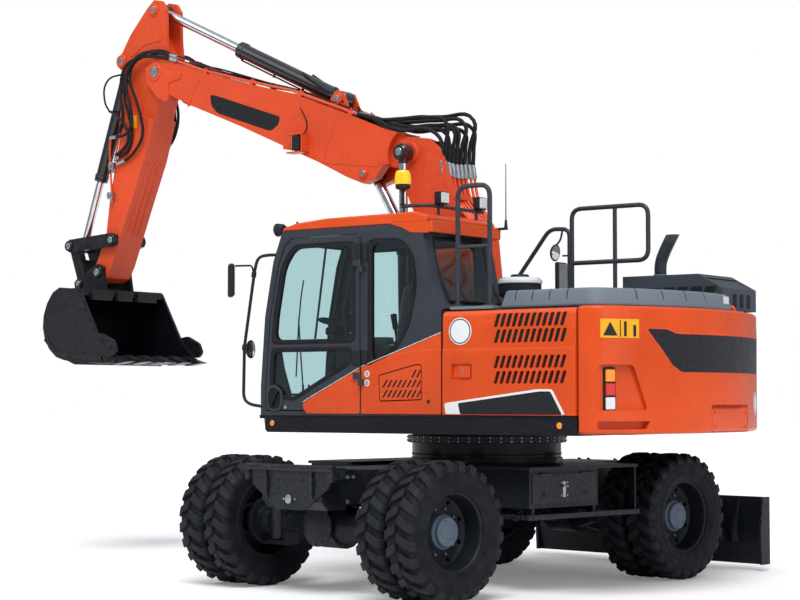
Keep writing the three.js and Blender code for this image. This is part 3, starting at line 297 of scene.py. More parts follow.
@dataclass(frozen=True)
class Rubber(Surface):
    """Vulcanised rubber of a tyre, a hose or a seal.

    Attributes:
        dust: How much dust lies on it near the ground.
        grain: Scale of the surface bump.
    """

    dust: float = 0.0
    grain: float = 120.0

    def close_up(self, t: Tree, base: Point) -> bpy.types.Material:
        """Lays the nodes out, from the base colour to the output."""
        colour = t.mix(t.ramp(t.noise(9.0, 5.0), 0.35, 0.75), base, toned(base, 1.7, 0.006))
        colour = t.mix(t.math("MULTIPLY", t.edges(0.08), 0.5), colour, rgb("2b2e33"))
        if self.dust:
            film = t.math("MULTIPLY", t.ramp(t.noise(3.0, 6.0), 0.4, 0.7), self.dust)
            colour = t.mix(film, colour, rgb("57534c"))
        rough = t.ramp(t.noise(20.0, 3.0), 0.3, 0.7, 0.46, 0.72)
        return t.close(t.add("BsdfPrincipled", Base_Color=colour, Roughness=rough, Specular_IOR_Level=0.16,
                             Normal=t.bump(t.noise(self.grain, 3.0), 0.16, 0.003)))


@dataclass(frozen=True)
class Metal(Surface):
    """Bare or plated metal.

    Attributes:
        roughness: Mean roughness.
        turned: Strength of the fine turning marks.
    """

    roughness: float = 0.14
    turned: float = 0.02

    def close_up(self, t: Tree, base: Point) -> bpy.types.Material:
        """Lays the nodes out, from the base colour to the output."""
        colour = t.mix(t.ramp(t.noise(14.0, 4.0), 0.35, 0.8), base, toned(base, 0.72))
        rough = t.ramp(t.noise(60.0, 3.0), 0.3, 0.7, self.roughness * 0.75, self.roughness * 1.5)
        return t.close(t.add("BsdfPrincipled", Base_Color=colour, Metallic=1.0, Roughness=rough,
                             Normal=t.bump(t.noise(420.0, 1.0), self.turned, 0.001)))


@dataclass(frozen=True)
class Glass(Surface):
    """Thin tinted safety glass.

    Attributes:
        shine: Share of what the glass mirrors.
    """

    shine: float = 0.05

    def close_up(self, t: Tree, base: Point) -> bpy.types.Material:
        """Lays the nodes out, from the base colour to the output."""
        film = t.ramp(t.noise(2.2, 5.0), 0.35, 0.8, 0.012, 0.05)
        clear = t.add("BsdfTransparent", Color=base)
        gloss = t.add("BsdfPrincipled", Base_Color=rgb("e8eef0"), Roughness=film, Metallic=1.0)
        return t.close(t.add("MixShader", i0=self.shine, i1=clear.outputs[0], i2=gloss.outputs[0]))


@dataclass(frozen=True)
class Lens(Surface):
    """Ribbed coloured lens of a lamp.

    Attributes:
        ribs: Scale of the ribs.
        glow: Strength of the light that the lens itself gives.
    """

    ribs: float = 140.0
    glow: float = 0.0

    def close_up(self, t: Tree, base: Point) -> bpy.types.Material:
        """Lays the nodes out, from the base colour to the output."""
        colour = t.mix(t.ramp(t.noise(60.0, 2.0), 0.4, 0.6), base, toned(base, 0.88))
        wave = t.add("TexWave", Vector=t.coords, Scale=self.ribs).outputs["Fac"]
        return t.close(t.add("BsdfPrincipled", Base_Color=colour, Roughness=0.12, Coat_Weight=0.6,
                             Emission_Color=base, Emission_Strength=self.glow,
                             Normal=t.bump(wave, 0.25, 0.002)))


@dataclass(frozen=True)
class Cloth(Surface):
    """Woven cover of a seat."""


    def close_up(self, t: Tree, base: Point) -> bpy.types.Material:
        """Lays the nodes out, from the base colour to the output."""
        warp = t.add("TexWave", {"bands_direction": "X"}, Vector=t.coords, Scale=160.0).outputs["Fac"]
        weft = t.add("TexWave", {"bands_direction": "Z"}, Vector=t.coords, Scale=160.0).outputs["Fac"]
        weave = t.math("MULTIPLY", warp, weft)
        colour = t.mix(t.math("MULTIPLY", weave, t.ramp(t.noise(30.0), 0.3, 0.7)), base,
                       toned(base, 1.9, 0.01))
        return t.close(t.add("BsdfPrincipled", Base_Color=colour, Roughness=0.92, Sheen_Weight=0.3,
                             Normal=t.bump(weave, 0.4, 0.002)))


class Finish(Enum):
    """Every finish of the machine."""

    ORANGE = Paint("orange_gloss", "orange_paint", "dc4c12", 0.30, coat=0.16, wear=0.25)
    ORANGE_FRAME = Paint("orange_welded_paint", "orange_paint", "dc4c22", 0.36, coat=0.12, peel=0.06,
                         grain=120.0, wear=0.4)
    CHARCOAL = Paint("charcoal_satin", "charcoal_paint", "30353e", 0.38, coat=0.12, wear=0.25)
    BLACK = Paint("satin_black_paint", "charcoal_paint", "14171c", 0.42, wear=0.3)
    NAVY = Paint("navy_satin", "navy_paint", "11161f", 0.38, coat=0.1, peel=0.05, grain=90.0, wear=0.6,
                 dust=0.03, gleam=0.18)
    SKIRT = Paint("skirt_paint", "navy_paint", "0f131b", 0.36, coat=0.05, wear=0.2, gleam=0.16)
    TOOL = Paint("tool_paint", "navy_paint", "0b0e15", 0.3, coat=0.15, peel=0.03, grain=70.0, wear=0.6)
    RIM = Paint("rim_satin", "rim_paint", "12161d", 0.42, wear=0.4, dust=0.03, gleam=0.2)
    HUB = Paint("hub_paint", "rim_paint", "566373", 0.42, wear=0.3, dust=0.04)
    CYLINDER = Paint("cylinder_gloss", "cylinder_paint", "191c22", 0.22, coat=0.5, wear=0.3, gleam=0.5)
    HOOD = Paint("grey_grained", "grey_moulding", "6b7680", 0.55, peel=0.12, grain=340.0, wear=0.15)
    SLATE = Paint("slate_moulding", "grey_moulding", "3a424b", 0.5, peel=0.12, grain=340.0, wear=0.15)
    # Near-black: painted shade on the louvre pocket floors of the side doors, behind the cab grille and in
    # the exhaust louvres; also the door handle cup.
    VENT = Paint("dark_vent", "grey_moulding", "101216", 0.7, wear=0.1)
    PLASTIC = Paint("black_grained", "black_plastic", "181a1e", 0.5, peel=0.1, grain=420.0, wear=0.2)
    # White of the labels and discs; also the thin lines along the cab panels' upper edges, which are painted
    # highlights.
    WHITE = Paint("white_label", "charcoal_paint", "eceeef", 0.3, wear=0.05)
    YELLOW = Paint("yellow_label", "orange_paint", "f2b01c", 0.32, wear=0.05)
    CAST = Paint("cast_rough", "cast_iron", "3c4044", 0.6, peel=0.2, grain=60.0, wear=0.5)
    STEEL = Metal("bright_pin", "chrome_rod", "b9bdc1", 0.32, 0.05)
    CHROME = Metal("chrome_bright", "chrome_rod", "e4e6e9", 0.1)
    MIRROR = Metal("mirror_face", "chrome_rod", "cfd6da", 0.03, 0.0)
    TYRE = Rubber("tyre_rubber", "tyre", "0d1017", dust=0.03)
    HOSE = Rubber("hose_rubber", "cylinder_paint", "131519", grain=260.0)
    # Also the dark sheet inside the lower door window and the dark discs on the toolbox doors, which are
    # painted shade.
    SEAL = Rubber("seal_rubber", "black_plastic", "0f1114")
    GLASS = Glass("cab_glass", "black_plastic", "ebf6f7")
    AMBER = Lens("amber_lens", "orange_paint", "f08c12", glow=0.15)
    RED = Lens("red_lens", "orange_paint", "c9141a", glow=0.15)
    CLEAR = Lens("clear_lens", "chrome_rod", "e6e9ea", 90.0)
    BEACON = Lens("beacon_lens", "orange_paint", "ffc21a", 60.0, 0.25)
    CLOTH = Cloth("seat_cloth", "seat_fabric", "24272c")

    def material(self) -> bpy.types.Material:
        """The finish's material, made at its first use."""
        made = bpy.data.materials.get(self.value.name)
        return made or self.value.build()


# ------------------------------------------------------------------ the bench
class Bench:
    """Modelling steps shared by the sub-assemblies; sizes are in millimetres."""

    @staticmethod
    def clear() -> None:
        """Leaves nothing selected."""
        bpy.ops.object.select_all(action="DESELECT")

    @staticmethod
    def taken(name: str) -> bpy.types.Object:
        """The newly added object, named."""
        made = bpy.context.active_object
        made.name = name
        made.data.name = name
        return made

    @staticmethod
    def apply(piece: bpy.types.Object, kind: str, **settings: object) -> bpy.types.Object:
        """Adds a modifier and applies it.

        Args:
            piece: Object to change.
            kind: Modifier type.
            **settings: The modifier's properties.

        Returns:
            The same object.
        """
        Bench.clear()
        piece.select_set(True)
        bpy.context.view_layer.objects.active = piece
        modifier = piece.modifiers.new(kind.title(), kind)
        for key, value in settings.items():
            setattr(modifier, key, value)
        bpy.ops.object.modifier_apply(modifier=modifier.name)
        return piece

    @staticmethod
    def rounded(piece: bpy.types.Object, width: float, segments: int = 2,
                angle: float = 35.0) -> bpy.types.Object:
        """Rounds the sharp edges.

        Args:
            piece: Object to change.
            width: Bevel width in millimetres.
            segments: Number of segments of the round.
            angle: Edges sharper than this are rounded, in degrees.

        Returns:
            The same object.
        """
        if width > 0:
            Bench.apply(piece, "BEVEL", width=width * MM, segments=segments, limit_method="ANGLE",
                        angle_limit=math.radians(angle), harden_normals=False, use_clamp_overlap=True)
        return Bench.smooth(piece)

    @staticmethod
    def smooth(piece: bpy.types.Object, angle: float = 32.0) -> bpy.types.Object:
        """Shades smooth up to an angle in degrees."""
        Bench.clear()
        piece.select_set(True)
        bpy.context.view_layer.objects.active = piece
        bpy.ops.object.shade_smooth_by_angle(angle=math.radians(angle))
        return piece

    @staticmethod
    def level(piece: bpy.types.Object) -> None:
        """Shades broad faces flat, so that only the rounds between them turn."""
        Bench.apply(piece, "WEIGHTED_NORMAL", keep_sharp=True, weight=60)

    @staticmethod
    def block(name: str, low: Point, high: Point, bevel: float = 4.0, segments: int = 2) -> bpy.types.Object:
        """Block with rounded edges.

        Args:
            name: Name of the piece.
            low: One corner.
            high: The opposite corner.
            bevel: Width of the rounds.
            segments: Segments of the rounds.

        Returns:
            The block.
        """
        Bench.clear()
        a, b = (Vector(map(pick, low, high)) * MM for pick in (min, max))
        bpy.ops.mesh.primitive_cube_add(size=1.0, location=(a + b) / 2)
        made = Bench.taken(name)
        made.scale = b - a
        bpy.ops.object.transform_apply(location=True, rotation=True, scale=True)
        return Bench.rounded(made, bevel, segments)

    @staticmethod
    def plate(name: str, outline: Outline, start: float, end: float, plane: Plane = Plane.XZ,
              bevel: float = 3.0, segments: int = 2) -> bpy.types.Object:
        """Outline extruded to a plate.

        Args:
            name: Name of the piece.
            outline: Corners in the plane.
            start: One face, across the plane.
            end: The other face.
            plane: Plane of the outline.
            bevel: Width of the rounds.
            segments: Segments of the rounds.

        Returns:
            The plate.
        """
        Bench.clear()
        start, end = sorted((start, end))
        bpy.ops.mesh.primitive_circle_add(vertices=len(outline), fill_type="NGON")
        made = Bench.taken(name)
        for vertex, (a, b) in zip(made.data.vertices, outline):
            corner = {Plane.XZ: (a, start, b), Plane.XY: (a, b, start), Plane.YZ: (start, a, b)}[plane]
            vertex.co = Vector(corner) * MM
        depth = (end - start) * MM
        step = {Plane.XZ: (0, depth, 0), Plane.XY: (0, 0, depth), Plane.YZ: (depth, 0, 0)}[plane]
        bpy.ops.object.mode_set(mode="EDIT")
        bpy.ops.mesh.select_all(action="SELECT")
        bpy.ops.mesh.extrude_region_move(TRANSFORM_OT_translate={"value": step})
        bpy.ops.mesh.select_all(action="SELECT")
        bpy.ops.mesh.normals_make_consistent(inside=False)
        bpy.ops.object.mode_set(mode="OBJECT")
        return Bench.rounded(made, bevel, segments)

    @staticmethod
    def turned(name: str, profile: Outline, centre: Point, axis: Point, steps: int = 48,
               bevel: float = 0.0) -> bpy.types.Object:
        """Closed profile spun about an axis.

        Args:
            name: Name of the piece.
            profile: Corners as radius and distance along the axis, drawn as a closed loop.
            centre: Point of the axis that distances start from.
            axis: Direction of the axis.
            steps: Number of steps round.
            bevel: Width of the rounds.

        Returns:
            The turned piece.
        """
        Bench.clear()
        bpy.ops.mesh.primitive_circle_add(vertices=len(profile), fill_type="NOTHING")
        made = Bench.taken(name)
        along = Vector(axis).normalized()
        out = along.orthogonal().normalized()
        origin = Vector(centre) * MM
        for vertex, (radius, distance) in zip(made.data.vertices, profile):
            vertex.co = origin + (out * radius + along * distance) * MM
        bpy.ops.object.mode_set(mode="EDIT")
        bpy.ops.mesh.select_all(action="SELECT")
        bpy.ops.mesh.spin(steps=steps, angle=2 * math.pi, center=origin, axis=along)
        bpy.ops.mesh.select_all(action="SELECT")
        bpy.ops.mesh.remove_doubles(threshold=0.00002)
        bpy.ops.mesh.normals_make_consistent(inside=False)
        bpy.ops.object.mode_set(mode="OBJECT")
        return Bench.rounded(made, bevel, 2)

    @staticmethod
    def rod(name: str, start: Point, end: Point, radius: float, sides: int = 24, bevel: float = 2.0,
            tip: float | None = None) -> bpy.types.Object:
        """Round bar between two points.

        Args:
            name: Name of the piece.
            start: Centre of the first end.
            end: Centre of the second end.
            radius: Radius at the start.
            sides: Sides of the section.
            bevel: Width of the rounds at the ends.
            tip: Radius at the end, if it differs.

        Returns:
            The bar.
        """
        Bench.clear()
        a, b = Vector(start) * MM, Vector(end) * MM
        bpy.ops.mesh.primitive_cone_add(vertices=sides, radius1=radius * MM,
                                        radius2=(radius if tip is None else tip) * MM, depth=(b - a).length)
        made = Bench.taken(name)
        turn = Vector((0, 0, 1)).rotation_difference((b - a).normalized()).to_matrix().to_4x4()
        made.data.transform(Matrix.Translation((a + b) / 2) @ turn)
        return Bench.rounded(made, bevel, 2, 50.0)

    @staticmethod
    def tube(name: str, points: Sequence[Point], radius: float, sides: int = 10, smooth: bool = True,
             closed: bool = False) -> bpy.types.Object:
        """Round tube along a route, with closed ends.

        Args:
            name: Name of the piece.
            points: Points of the route.
            radius: Radius of the tube.
            sides: Sides of the section.
            smooth: Whether the route is a soft curve or straight between its points.
            closed: Whether the route joins its own start.

        Returns:
            The tube as a mesh.
        """
        Bench.clear()
        curve = bpy.data.curves.new(name, "CURVE")
        curve.dimensions = "3D"
        curve.resolution_u = 6
        curve.bevel_depth = radius * MM
        curve.bevel_resolution = max(0, sides // 4 - 1)
        curve.use_fill_caps = True
        spline = curve.splines.new("BEZIER" if smooth else "POLY")
        if smooth:
            spline.bezier_points.add(len(points) - 1)
            for knot, point in zip(spline.bezier_points, points):
                knot.co = Vector(point) * MM
                knot.handle_left_type = knot.handle_right_type = "AUTO"
        else:
            spline.points.add(len(points) - 1)
            for knot, point in zip(spline.points, points):
                knot.co = (*(Vector(point) * MM), 1.0)
        spline.use_cyclic_u = closed
        made = bpy.data.objects.new(name, curve)
        bpy.context.scene.collection.objects.link(made)
        made.select_set(True)
        bpy.context.view_layer.objects.active = made
        bpy.ops.object.convert(target="MESH")
        made = Bench.taken(name)
        return Bench.smooth(made, 60.0)

    @staticmethod
    def bent(points: Sequence[Point], corner: float, steps: int = 5) -> list[Vector]:
        """Route along straight runs with rounded corners.

        Args:
            points: Corners of the route.
            corner: Distance from a corner at which its round starts.
            steps: Steps of each round.

        Returns:
            Points of the route.
        """
        at = [Vector(p) for p in points]
        route = [at[0]]
        for before, here, after in zip(at, at[1:], at[2:]):
            a = here + (before - here).normalized() * min(corner, (before - here).length * 0.48)
            b = here + (after - here).normalized() * min(corner, (after - here).length * 0.48)
            route += [a.lerp(here, s).lerp(here.lerp(b, s), s) for s in (i / steps for i in range(steps + 1))]
        return route + [at[-1]]

    @staticmethod
    def copy(piece: bpy.types.Object, matrix: Matrix, name: str | None = None) -> bpy.types.Object:
        """Copy with its own mesh, placed by a matrix."""
        made = piece.copy()
        made.data = piece.data.copy()
        made.data.transform(matrix)
        if matrix.determinant() < 0:
            made.data.flip_normals()
        made.name = name or piece.name
        bpy.context.scene.collection.objects.link(made)
        return made

    @staticmethod
    def joined(name: str, pieces: Sequence[bpy.types.Object]) -> bpy.types.Object:
        """Several objects joined into one."""
        Bench.clear()
        for piece in pieces:
            piece.select_set(True)
        bpy.context.view_layer.objects.active = pieces[0]
        if len(pieces) > 1:
            bpy.ops.object.join()
        return Bench.taken(name)

    @staticmethod
    def cut(piece: bpy.types.Object, tool: bpy.types.Object, keep: bool = False) -> bpy.types.Object:
        """Cuts a tool out of a piece; the tool is removed unless it is kept."""
        Bench.apply(piece, "BOOLEAN", operation="DIFFERENCE", object=tool, solver="EXACT")
        if not keep:
            bpy.data.objects.remove(tool)
        return piece

    @staticmethod
    def clad(node: str, bevel: float = 6.0, segments: int = 2, angle: float = 30.0) -> bpy.types.Object:
        """Copy of a CAD node with merged corners and rounded edges, in the row frame.

        Args:
            node: Name of the CAD node.
            bevel: Width of the rounds.
            segments: Segments of the rounds.
            angle: Edges sharper than this are rounded, in degrees.

        Returns:
            The copy, which still has to ride on a body.
        """
        Bench.clear()
        made = frame["nodes"][node].copy()
        made.data = made.data.copy()
        made.parent = None
        for key in list(made.keys()):
            del made[key]
        bpy.context.scene.collection.objects.link(made)
        made.name = made.data.name = node + "_skin"
        made.data.materials.clear()
        made.select_set(True)
        bpy.context.view_layer.objects.active = made
        bpy.ops.object.mode_set(mode="EDIT")
        bpy.ops.mesh.select_all(action="SELECT")
        bpy.ops.mesh.remove_doubles(threshold=0.00005)
        bpy.ops.mesh.dissolve_limited(angle_limit=math.radians(0.6))
        bpy.ops.mesh.customdata_custom_splitnormals_clear()
        bpy.ops.object.mode_set(mode="OBJECT")
        return Bench.rounded(made, bevel, segments, angle)


class Draw:
    """Flat outlines shared by the sub-assemblies, in millimetres."""

    @staticmethod
    def inset(outline: Outline, distance: float) -> list[tuple[float, float]]:
        """Outline moved inwards along its own sides.

        Args:
            outline: Corners of a closed outline.
            distance: How far each side moves in; below nought it moves out.

        Returns:
            The moved corners.
        """
        turn = sum(a[0] * b[1] - b[0] * a[1] for a, b in zip(outline, [*outline[1:], outline[0]]))
        sign = 1.0 if turn > 0 else -1.0
        moved = []
        for index, here in enumerate(outline):
            before, after = outline[index - 1], outline[(index + 1) % len(outline)]
            first = Vector((here[0] - before[0], here[1] - before[1])).normalized()
            second = Vector((after[0] - here[0], after[1] - here[1])).normalized()
            left, right = Vector((-first.y, first.x)) * sign, Vector((-second.y, second.x)) * sign
            middle = (left + right).normalized()
            reach = distance / max(0.35, middle.dot(left))
            moved.append((here[0] + middle.x * reach, here[1] + middle.y * reach))
        return moved

    @staticmethod
    def soft(outline: Outline, corner: float, steps: int = 4) -> list[tuple[float, float]]:
        """Closed outline with rounded corners.

        Args:
            outline: Corners of a closed outline.
            corner: Distance from a corner at which its round starts.
            steps: Steps of each round.

        Returns:
            Corners of the rounded outline.
        """
        at = [Vector(p) for p in outline]
        made = []
        for index, here in enumerate(at):
            before, after = at[index - 1], at[(index + 1) % len(at)]
            a = here + (before - here).normalized() * min(corner, (before - here).length * 0.46)
            b = here + (after - here).normalized() * min(corner, (after - here).length * 0.46)
            for step in range(steps + 1):
                s = step / steps
                p = a.lerp(here, s).lerp(here.lerp(b, s), s)
                made.append((p.x, p.y))
        return made

    @staticmethod
    def arc(centre: Point, radius: float, start: float, end: float, steps: int) -> list[tuple[float, float]]:
        """Points of an arc from one angle to another, in degrees."""
        return [(centre[0] + radius * math.cos(math.radians(start + (end - start) * i / steps)),
                 centre[1] + radius * math.sin(math.radians(start + (end - start) * i / steps)))
                for i in range(steps + 1)]

    @staticmethod
    def around(count: int, radius: float) -> list[tuple[float, float]]:
        """Evenly spaced points of a circle about nought."""
        turns = [2 * math.pi * index / count for index in range(count)]
        return [(radius * math.cos(turn), radius * math.sin(turn)) for turn in turns]

    @staticmethod
    def tail(radius: float, half: float, front: float, corner: float) -> list[tuple[float, float]]:
        """Outline of the tail seen from above: a wide arc with rounded corners.

        Args:
            radius: Radius of the arc about the slewing axis.
            half: Half of the width.
            front: Where the outline ends in front.
            corner: Radius of the corners.

        Returns:
            Corners of the outline.
        """
        back = math.sqrt((radius - corner) ** 2 - (half - corner) ** 2)
        turn = math.degrees(math.atan2(half - corner, -back))
        left = Draw.arc((-back, half - corner), corner, 90.0, turn, 10)
        middle = Draw.arc((0.0, 0.0), radius, turn, 360.0 - turn, 40)
        right = Draw.arc((-back, corner - half), corner, 360.0 - turn, 270.0, 10)
        return [(front, half), *left, *middle[1:-1], *right, (front, -half)]

    @staticmethod
    def slots(first: float, step: float, count: int, low: float, high: float, width: float,
              slant: float) -> list[list[tuple[float, float]]]:
        """Row of slanted slots.

        Args:
            first: Place of the first slot's foot.
            step: Distance between slots.
            count: Number of slots.
            low: Height of the lower ends.
            high: Height of the upper ends.
            width: Width of a slot.
            slant: How far the upper end leans.

        Returns:
            Outline of each slot.
        """
        made = []
        for index in range(count):
            x = first + step * index
            made.append(Draw.soft([(x, low), (x + width, low), (x + width + slant, high), (x + slant, high)],
                                  width * 0.45, 3))
        return made


class Assembly:
    """Base of every sub-assembly: it keeps the deck and attaches finished pieces to their bodies."""

    deck: Deck = Deck.UPPER

    def fit(self, piece: bpy.types.Object, body: str, finish: Finish, *nodes: str,
            placed: bool = False) -> bpy.types.Object:
        """Places, dresses and attaches a piece to its body.

        Args:
            piece: The finished mesh.
            body: CAD body that it rides on.
            finish: Its finish.
            *nodes: CAD nodes that it stands for.
            placed: Whether the mesh is in the row frame already.

        Returns:
            The same piece.
        """
        if not placed:
            piece.data.transform(SITE.matrix(self.deck))
        Bench.level(piece)
        piece.data.materials.clear()
        piece.data.materials.append(finish.material())
        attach(piece, body)
        if nodes:
            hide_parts(*nodes)
        LOG.info("%s rides on %s", piece.name, body)
        return piece

    def group(self, name: str, pieces: Sequence[bpy.types.Object], body: str, finish: Finish,
              *nodes: str) -> None:
        """Joins several meshes into one piece and fits it."""
        self.fit(Bench.joined(name, pieces), body, finish, *nodes)

    def flex(self, piece: bpy.types.Object, bodies: tuple[str, str], finish: Finish, start: Point,
             end: Point) -> None:
        """Places and dresses a piece that runs between two bodies; it is baked into the row frame, attached
        to neither body and does not bend.

        Args:
            piece: The finished mesh.
            bodies: The bodies at its two ends.
            finish: Its finish.
            start: Where it starts to leave the first body; not used.
            end: Where it follows the second body; not used.
        """
        place = SITE.matrix(self.deck)
        piece.data.transform(place)
        piece.data.materials.clear()
        piece.data.materials.append(finish.material())
        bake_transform(piece)
        LOG.info("%s bends between %s and %s", piece.name, *bodies)

    def skin(self, node: str, body: str, finish: Finish, bevel: float = 6.0,
             segments: int = 2) -> bpy.types.Object:
        """Clads a CAD node with a rounded copy."""
        return self.fit(Bench.clad(node, bevel, segments), body, finish, node, placed=True)


# ------------------------------------------------------------------ stage
@dataclass
class Stage:
    """Camera, lamps, floor and background.

    Attributes:
        stand: Place of the camera over the slewing axis, in metres.
        heading: Heading of the view, in degrees from +X.
        pitch: Pitch of the view, in degrees.
        lens: Focal length in millimetres.
    """

    stand: tuple[float, float, float] = (-8.7257, 12.9748, 1.4533)
    heading: float = -53.477
    pitch: float = 2.984
    lens: float = 85.7

    def build(self) -> None:
        """Makes the camera, the lamps and the floor."""
        self._camera()
        self._world()
        self._lamps()
        self._floor()

    def _camera(self) -> None:
        """Adds the camera."""
        data = bpy.data.cameras.new("camera")
        data.lens = self.lens
        data.sensor_width = 36.0
        data.clip_end = 200.0
        camera = bpy.data.objects.new("camera", data)
        bpy.context.scene.collection.objects.link(camera)
        camera.location = SITE.origin + Vector(self.stand)
        heading, pitch = math.radians(self.heading), math.radians(self.pitch)
        look = Vector((math.cos(heading) * math.cos(pitch), math.sin(heading) * math.cos(pitch),
                       math.sin(pitch)))
        camera.rotation_euler = look.to_track_quat("-Z", "Y").to_euler()
        bpy.context.scene.camera = camera

    def _world(self) -> None:
        """Soft sky that the camera sees as plain white."""
        t = Tree(bpy.data.worlds.new("studio"), "OutputWorld")
        bpy.context.scene.world = t.owner
        rise = t.add("SeparateXYZ", Vector=t.place.outputs["Generated"]).outputs["Z"]
        ramp = t.add("ValToRGB", i0=rise)
        low, high = ramp.color_ramp.elements
        low.position, low.color = 0.25, (0.42, 0.43, 0.45, 1.0)
        high.position, high.color = 0.85, (0.86, 0.9, 0.96, 1.0)
        sky = t.add("Background", Color=ramp.outputs[0], Strength=0.62)
        white = t.add("Background", Color=WHITE)
        path = t.add("LightPath")
        seen = t.math("MAXIMUM", path.outputs["Is Camera Ray"], path.outputs["Is Transmission Ray"])
        t.close(t.add("MixShader", i0=seen, i1=sky.outputs[0], i2=white.outputs[0]))

    def _lamps(self) -> None:
        """Adds a broad key lamp and two soft fills."""
        low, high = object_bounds()
        centre = (low + high) / 2
        for name, kind, energy, size, offset in (
            ("key", "SUN", 2.1, 0.5, (-3.6, 5.6, 9.6)),
            ("fill", "SUN", 0.5, 0.8, (-9.0, 2.0, 3.0)),
            ("rim", "SUN", 0.45, 0.6, (5.0, 5.0, 6.0)),
        ):
            data = bpy.data.lights.new(name, kind)
            data.energy = energy
            data.angle = size
            lamp = bpy.data.objects.new(name, data)
            bpy.context.scene.collection.objects.link(lamp)
            lamp.location = centre + Vector(offset)
            lamp.rotation_euler = (-Vector(offset)).to_track_quat("-Z", "Y").to_euler()

    def _floor(self) -> None:
        """Adds the pale floor."""
        Bench.clear()
        bpy.ops.mesh.primitive_plane_add(size=160.0, location=(0.0, 0.0, 0.0))
        floor = Bench.taken("floor")
        t = Tree(bpy.data.materials.new("floor_surface"))
        lit = t.add("BsdfDiffuse", Color=(0.9, 0.9, 0.9, 1.0))
        seen = t.add("LightPath").outputs["Is Camera Ray"]
        glow = t.add("Emission", Color=WHITE, Strength=t.math("MULTIPLY", seen, 0.16))
        floor.data.materials.append(t.close(t.add("AddShader", i0=lit.outputs[0], i1=glow.outputs[0])))
        floor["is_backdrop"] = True


# ------------------------------------------------------------------ sub-assemblies
@dataclass
class Coverings(Assembly):
    """Rounded and painted copies of the CAD nodes that keep their shape.

    Attributes:
        plan: For each node its body, finish, bevel width and bevel segments.
    """

    plan: dict[str, tuple[str, Finish, float, int]] = field(default_factory=lambda: {
        "chassis_frame": ("chassis", Finish.NAVY, 8, 2),
        "slew_ring": ("chassis", Finish.NAVY, 3, 2),
        "front_axle": ("chassis", Finish.NAVY, 8, 2),
        "rear_axle": ("chassis", Finish.NAVY, 8, 2),
        "drive_line": ("chassis", Finish.NAVY, 6, 2),
        "toolbox_left": ("chassis", Finish.NAVY, 6, 2),
        "toolbox_right": ("chassis", Finish.NAVY, 6, 2),
        "knuckle_left": ("steer_left", Finish.NAVY, 6, 2),
        "knuckle_right": ("steer_right", Finish.NAVY, 6, 2),
        "dozer_blade": ("blade", Finish.NAVY, 5, 2),
        "upper_frame": ("upper", Finish.SKIRT, 4, 2),
        "tank_right": ("upper", Finish.ORANGE, 22, 3),
        "engine_block": ("upper", Finish.CAST, 10, 2),
        "top_cover": ("upper", Finish.HOOD, 5, 2),
        "exhaust_cover": ("upper", Finish.SLATE, 10, 2),
        "cab_shell": ("upper", Finish.CHARCOAL, 8, 2),
        "cab_door": ("cab_door", Finish.CHARCOAL, 6, 2),
        "cab_roof": ("upper", Finish.ORANGE, 22, 3),
        "lower_boom": ("lower_boom", Finish.ORANGE_FRAME, 8, 2),
        "upper_boom": ("upper_boom", Finish.ORANGE_FRAME, 8, 2),
        "arm": ("arm", Finish.ORANGE_FRAME, 8, 2),
        "bucket": ("bucket", Finish.TOOL, 5, 2),
        "guide_link": ("guide_link", Finish.TOOL, 6, 2),
        "bucket_link": ("bucket_link", Finish.TOOL, 6, 2),
    })

    def build(self) -> None:
        """Clads every node of the plan."""
        for node, (body, finish, bevel, segments) in self.plan.items():
            self.skin(node, body, finish, bevel, segments)


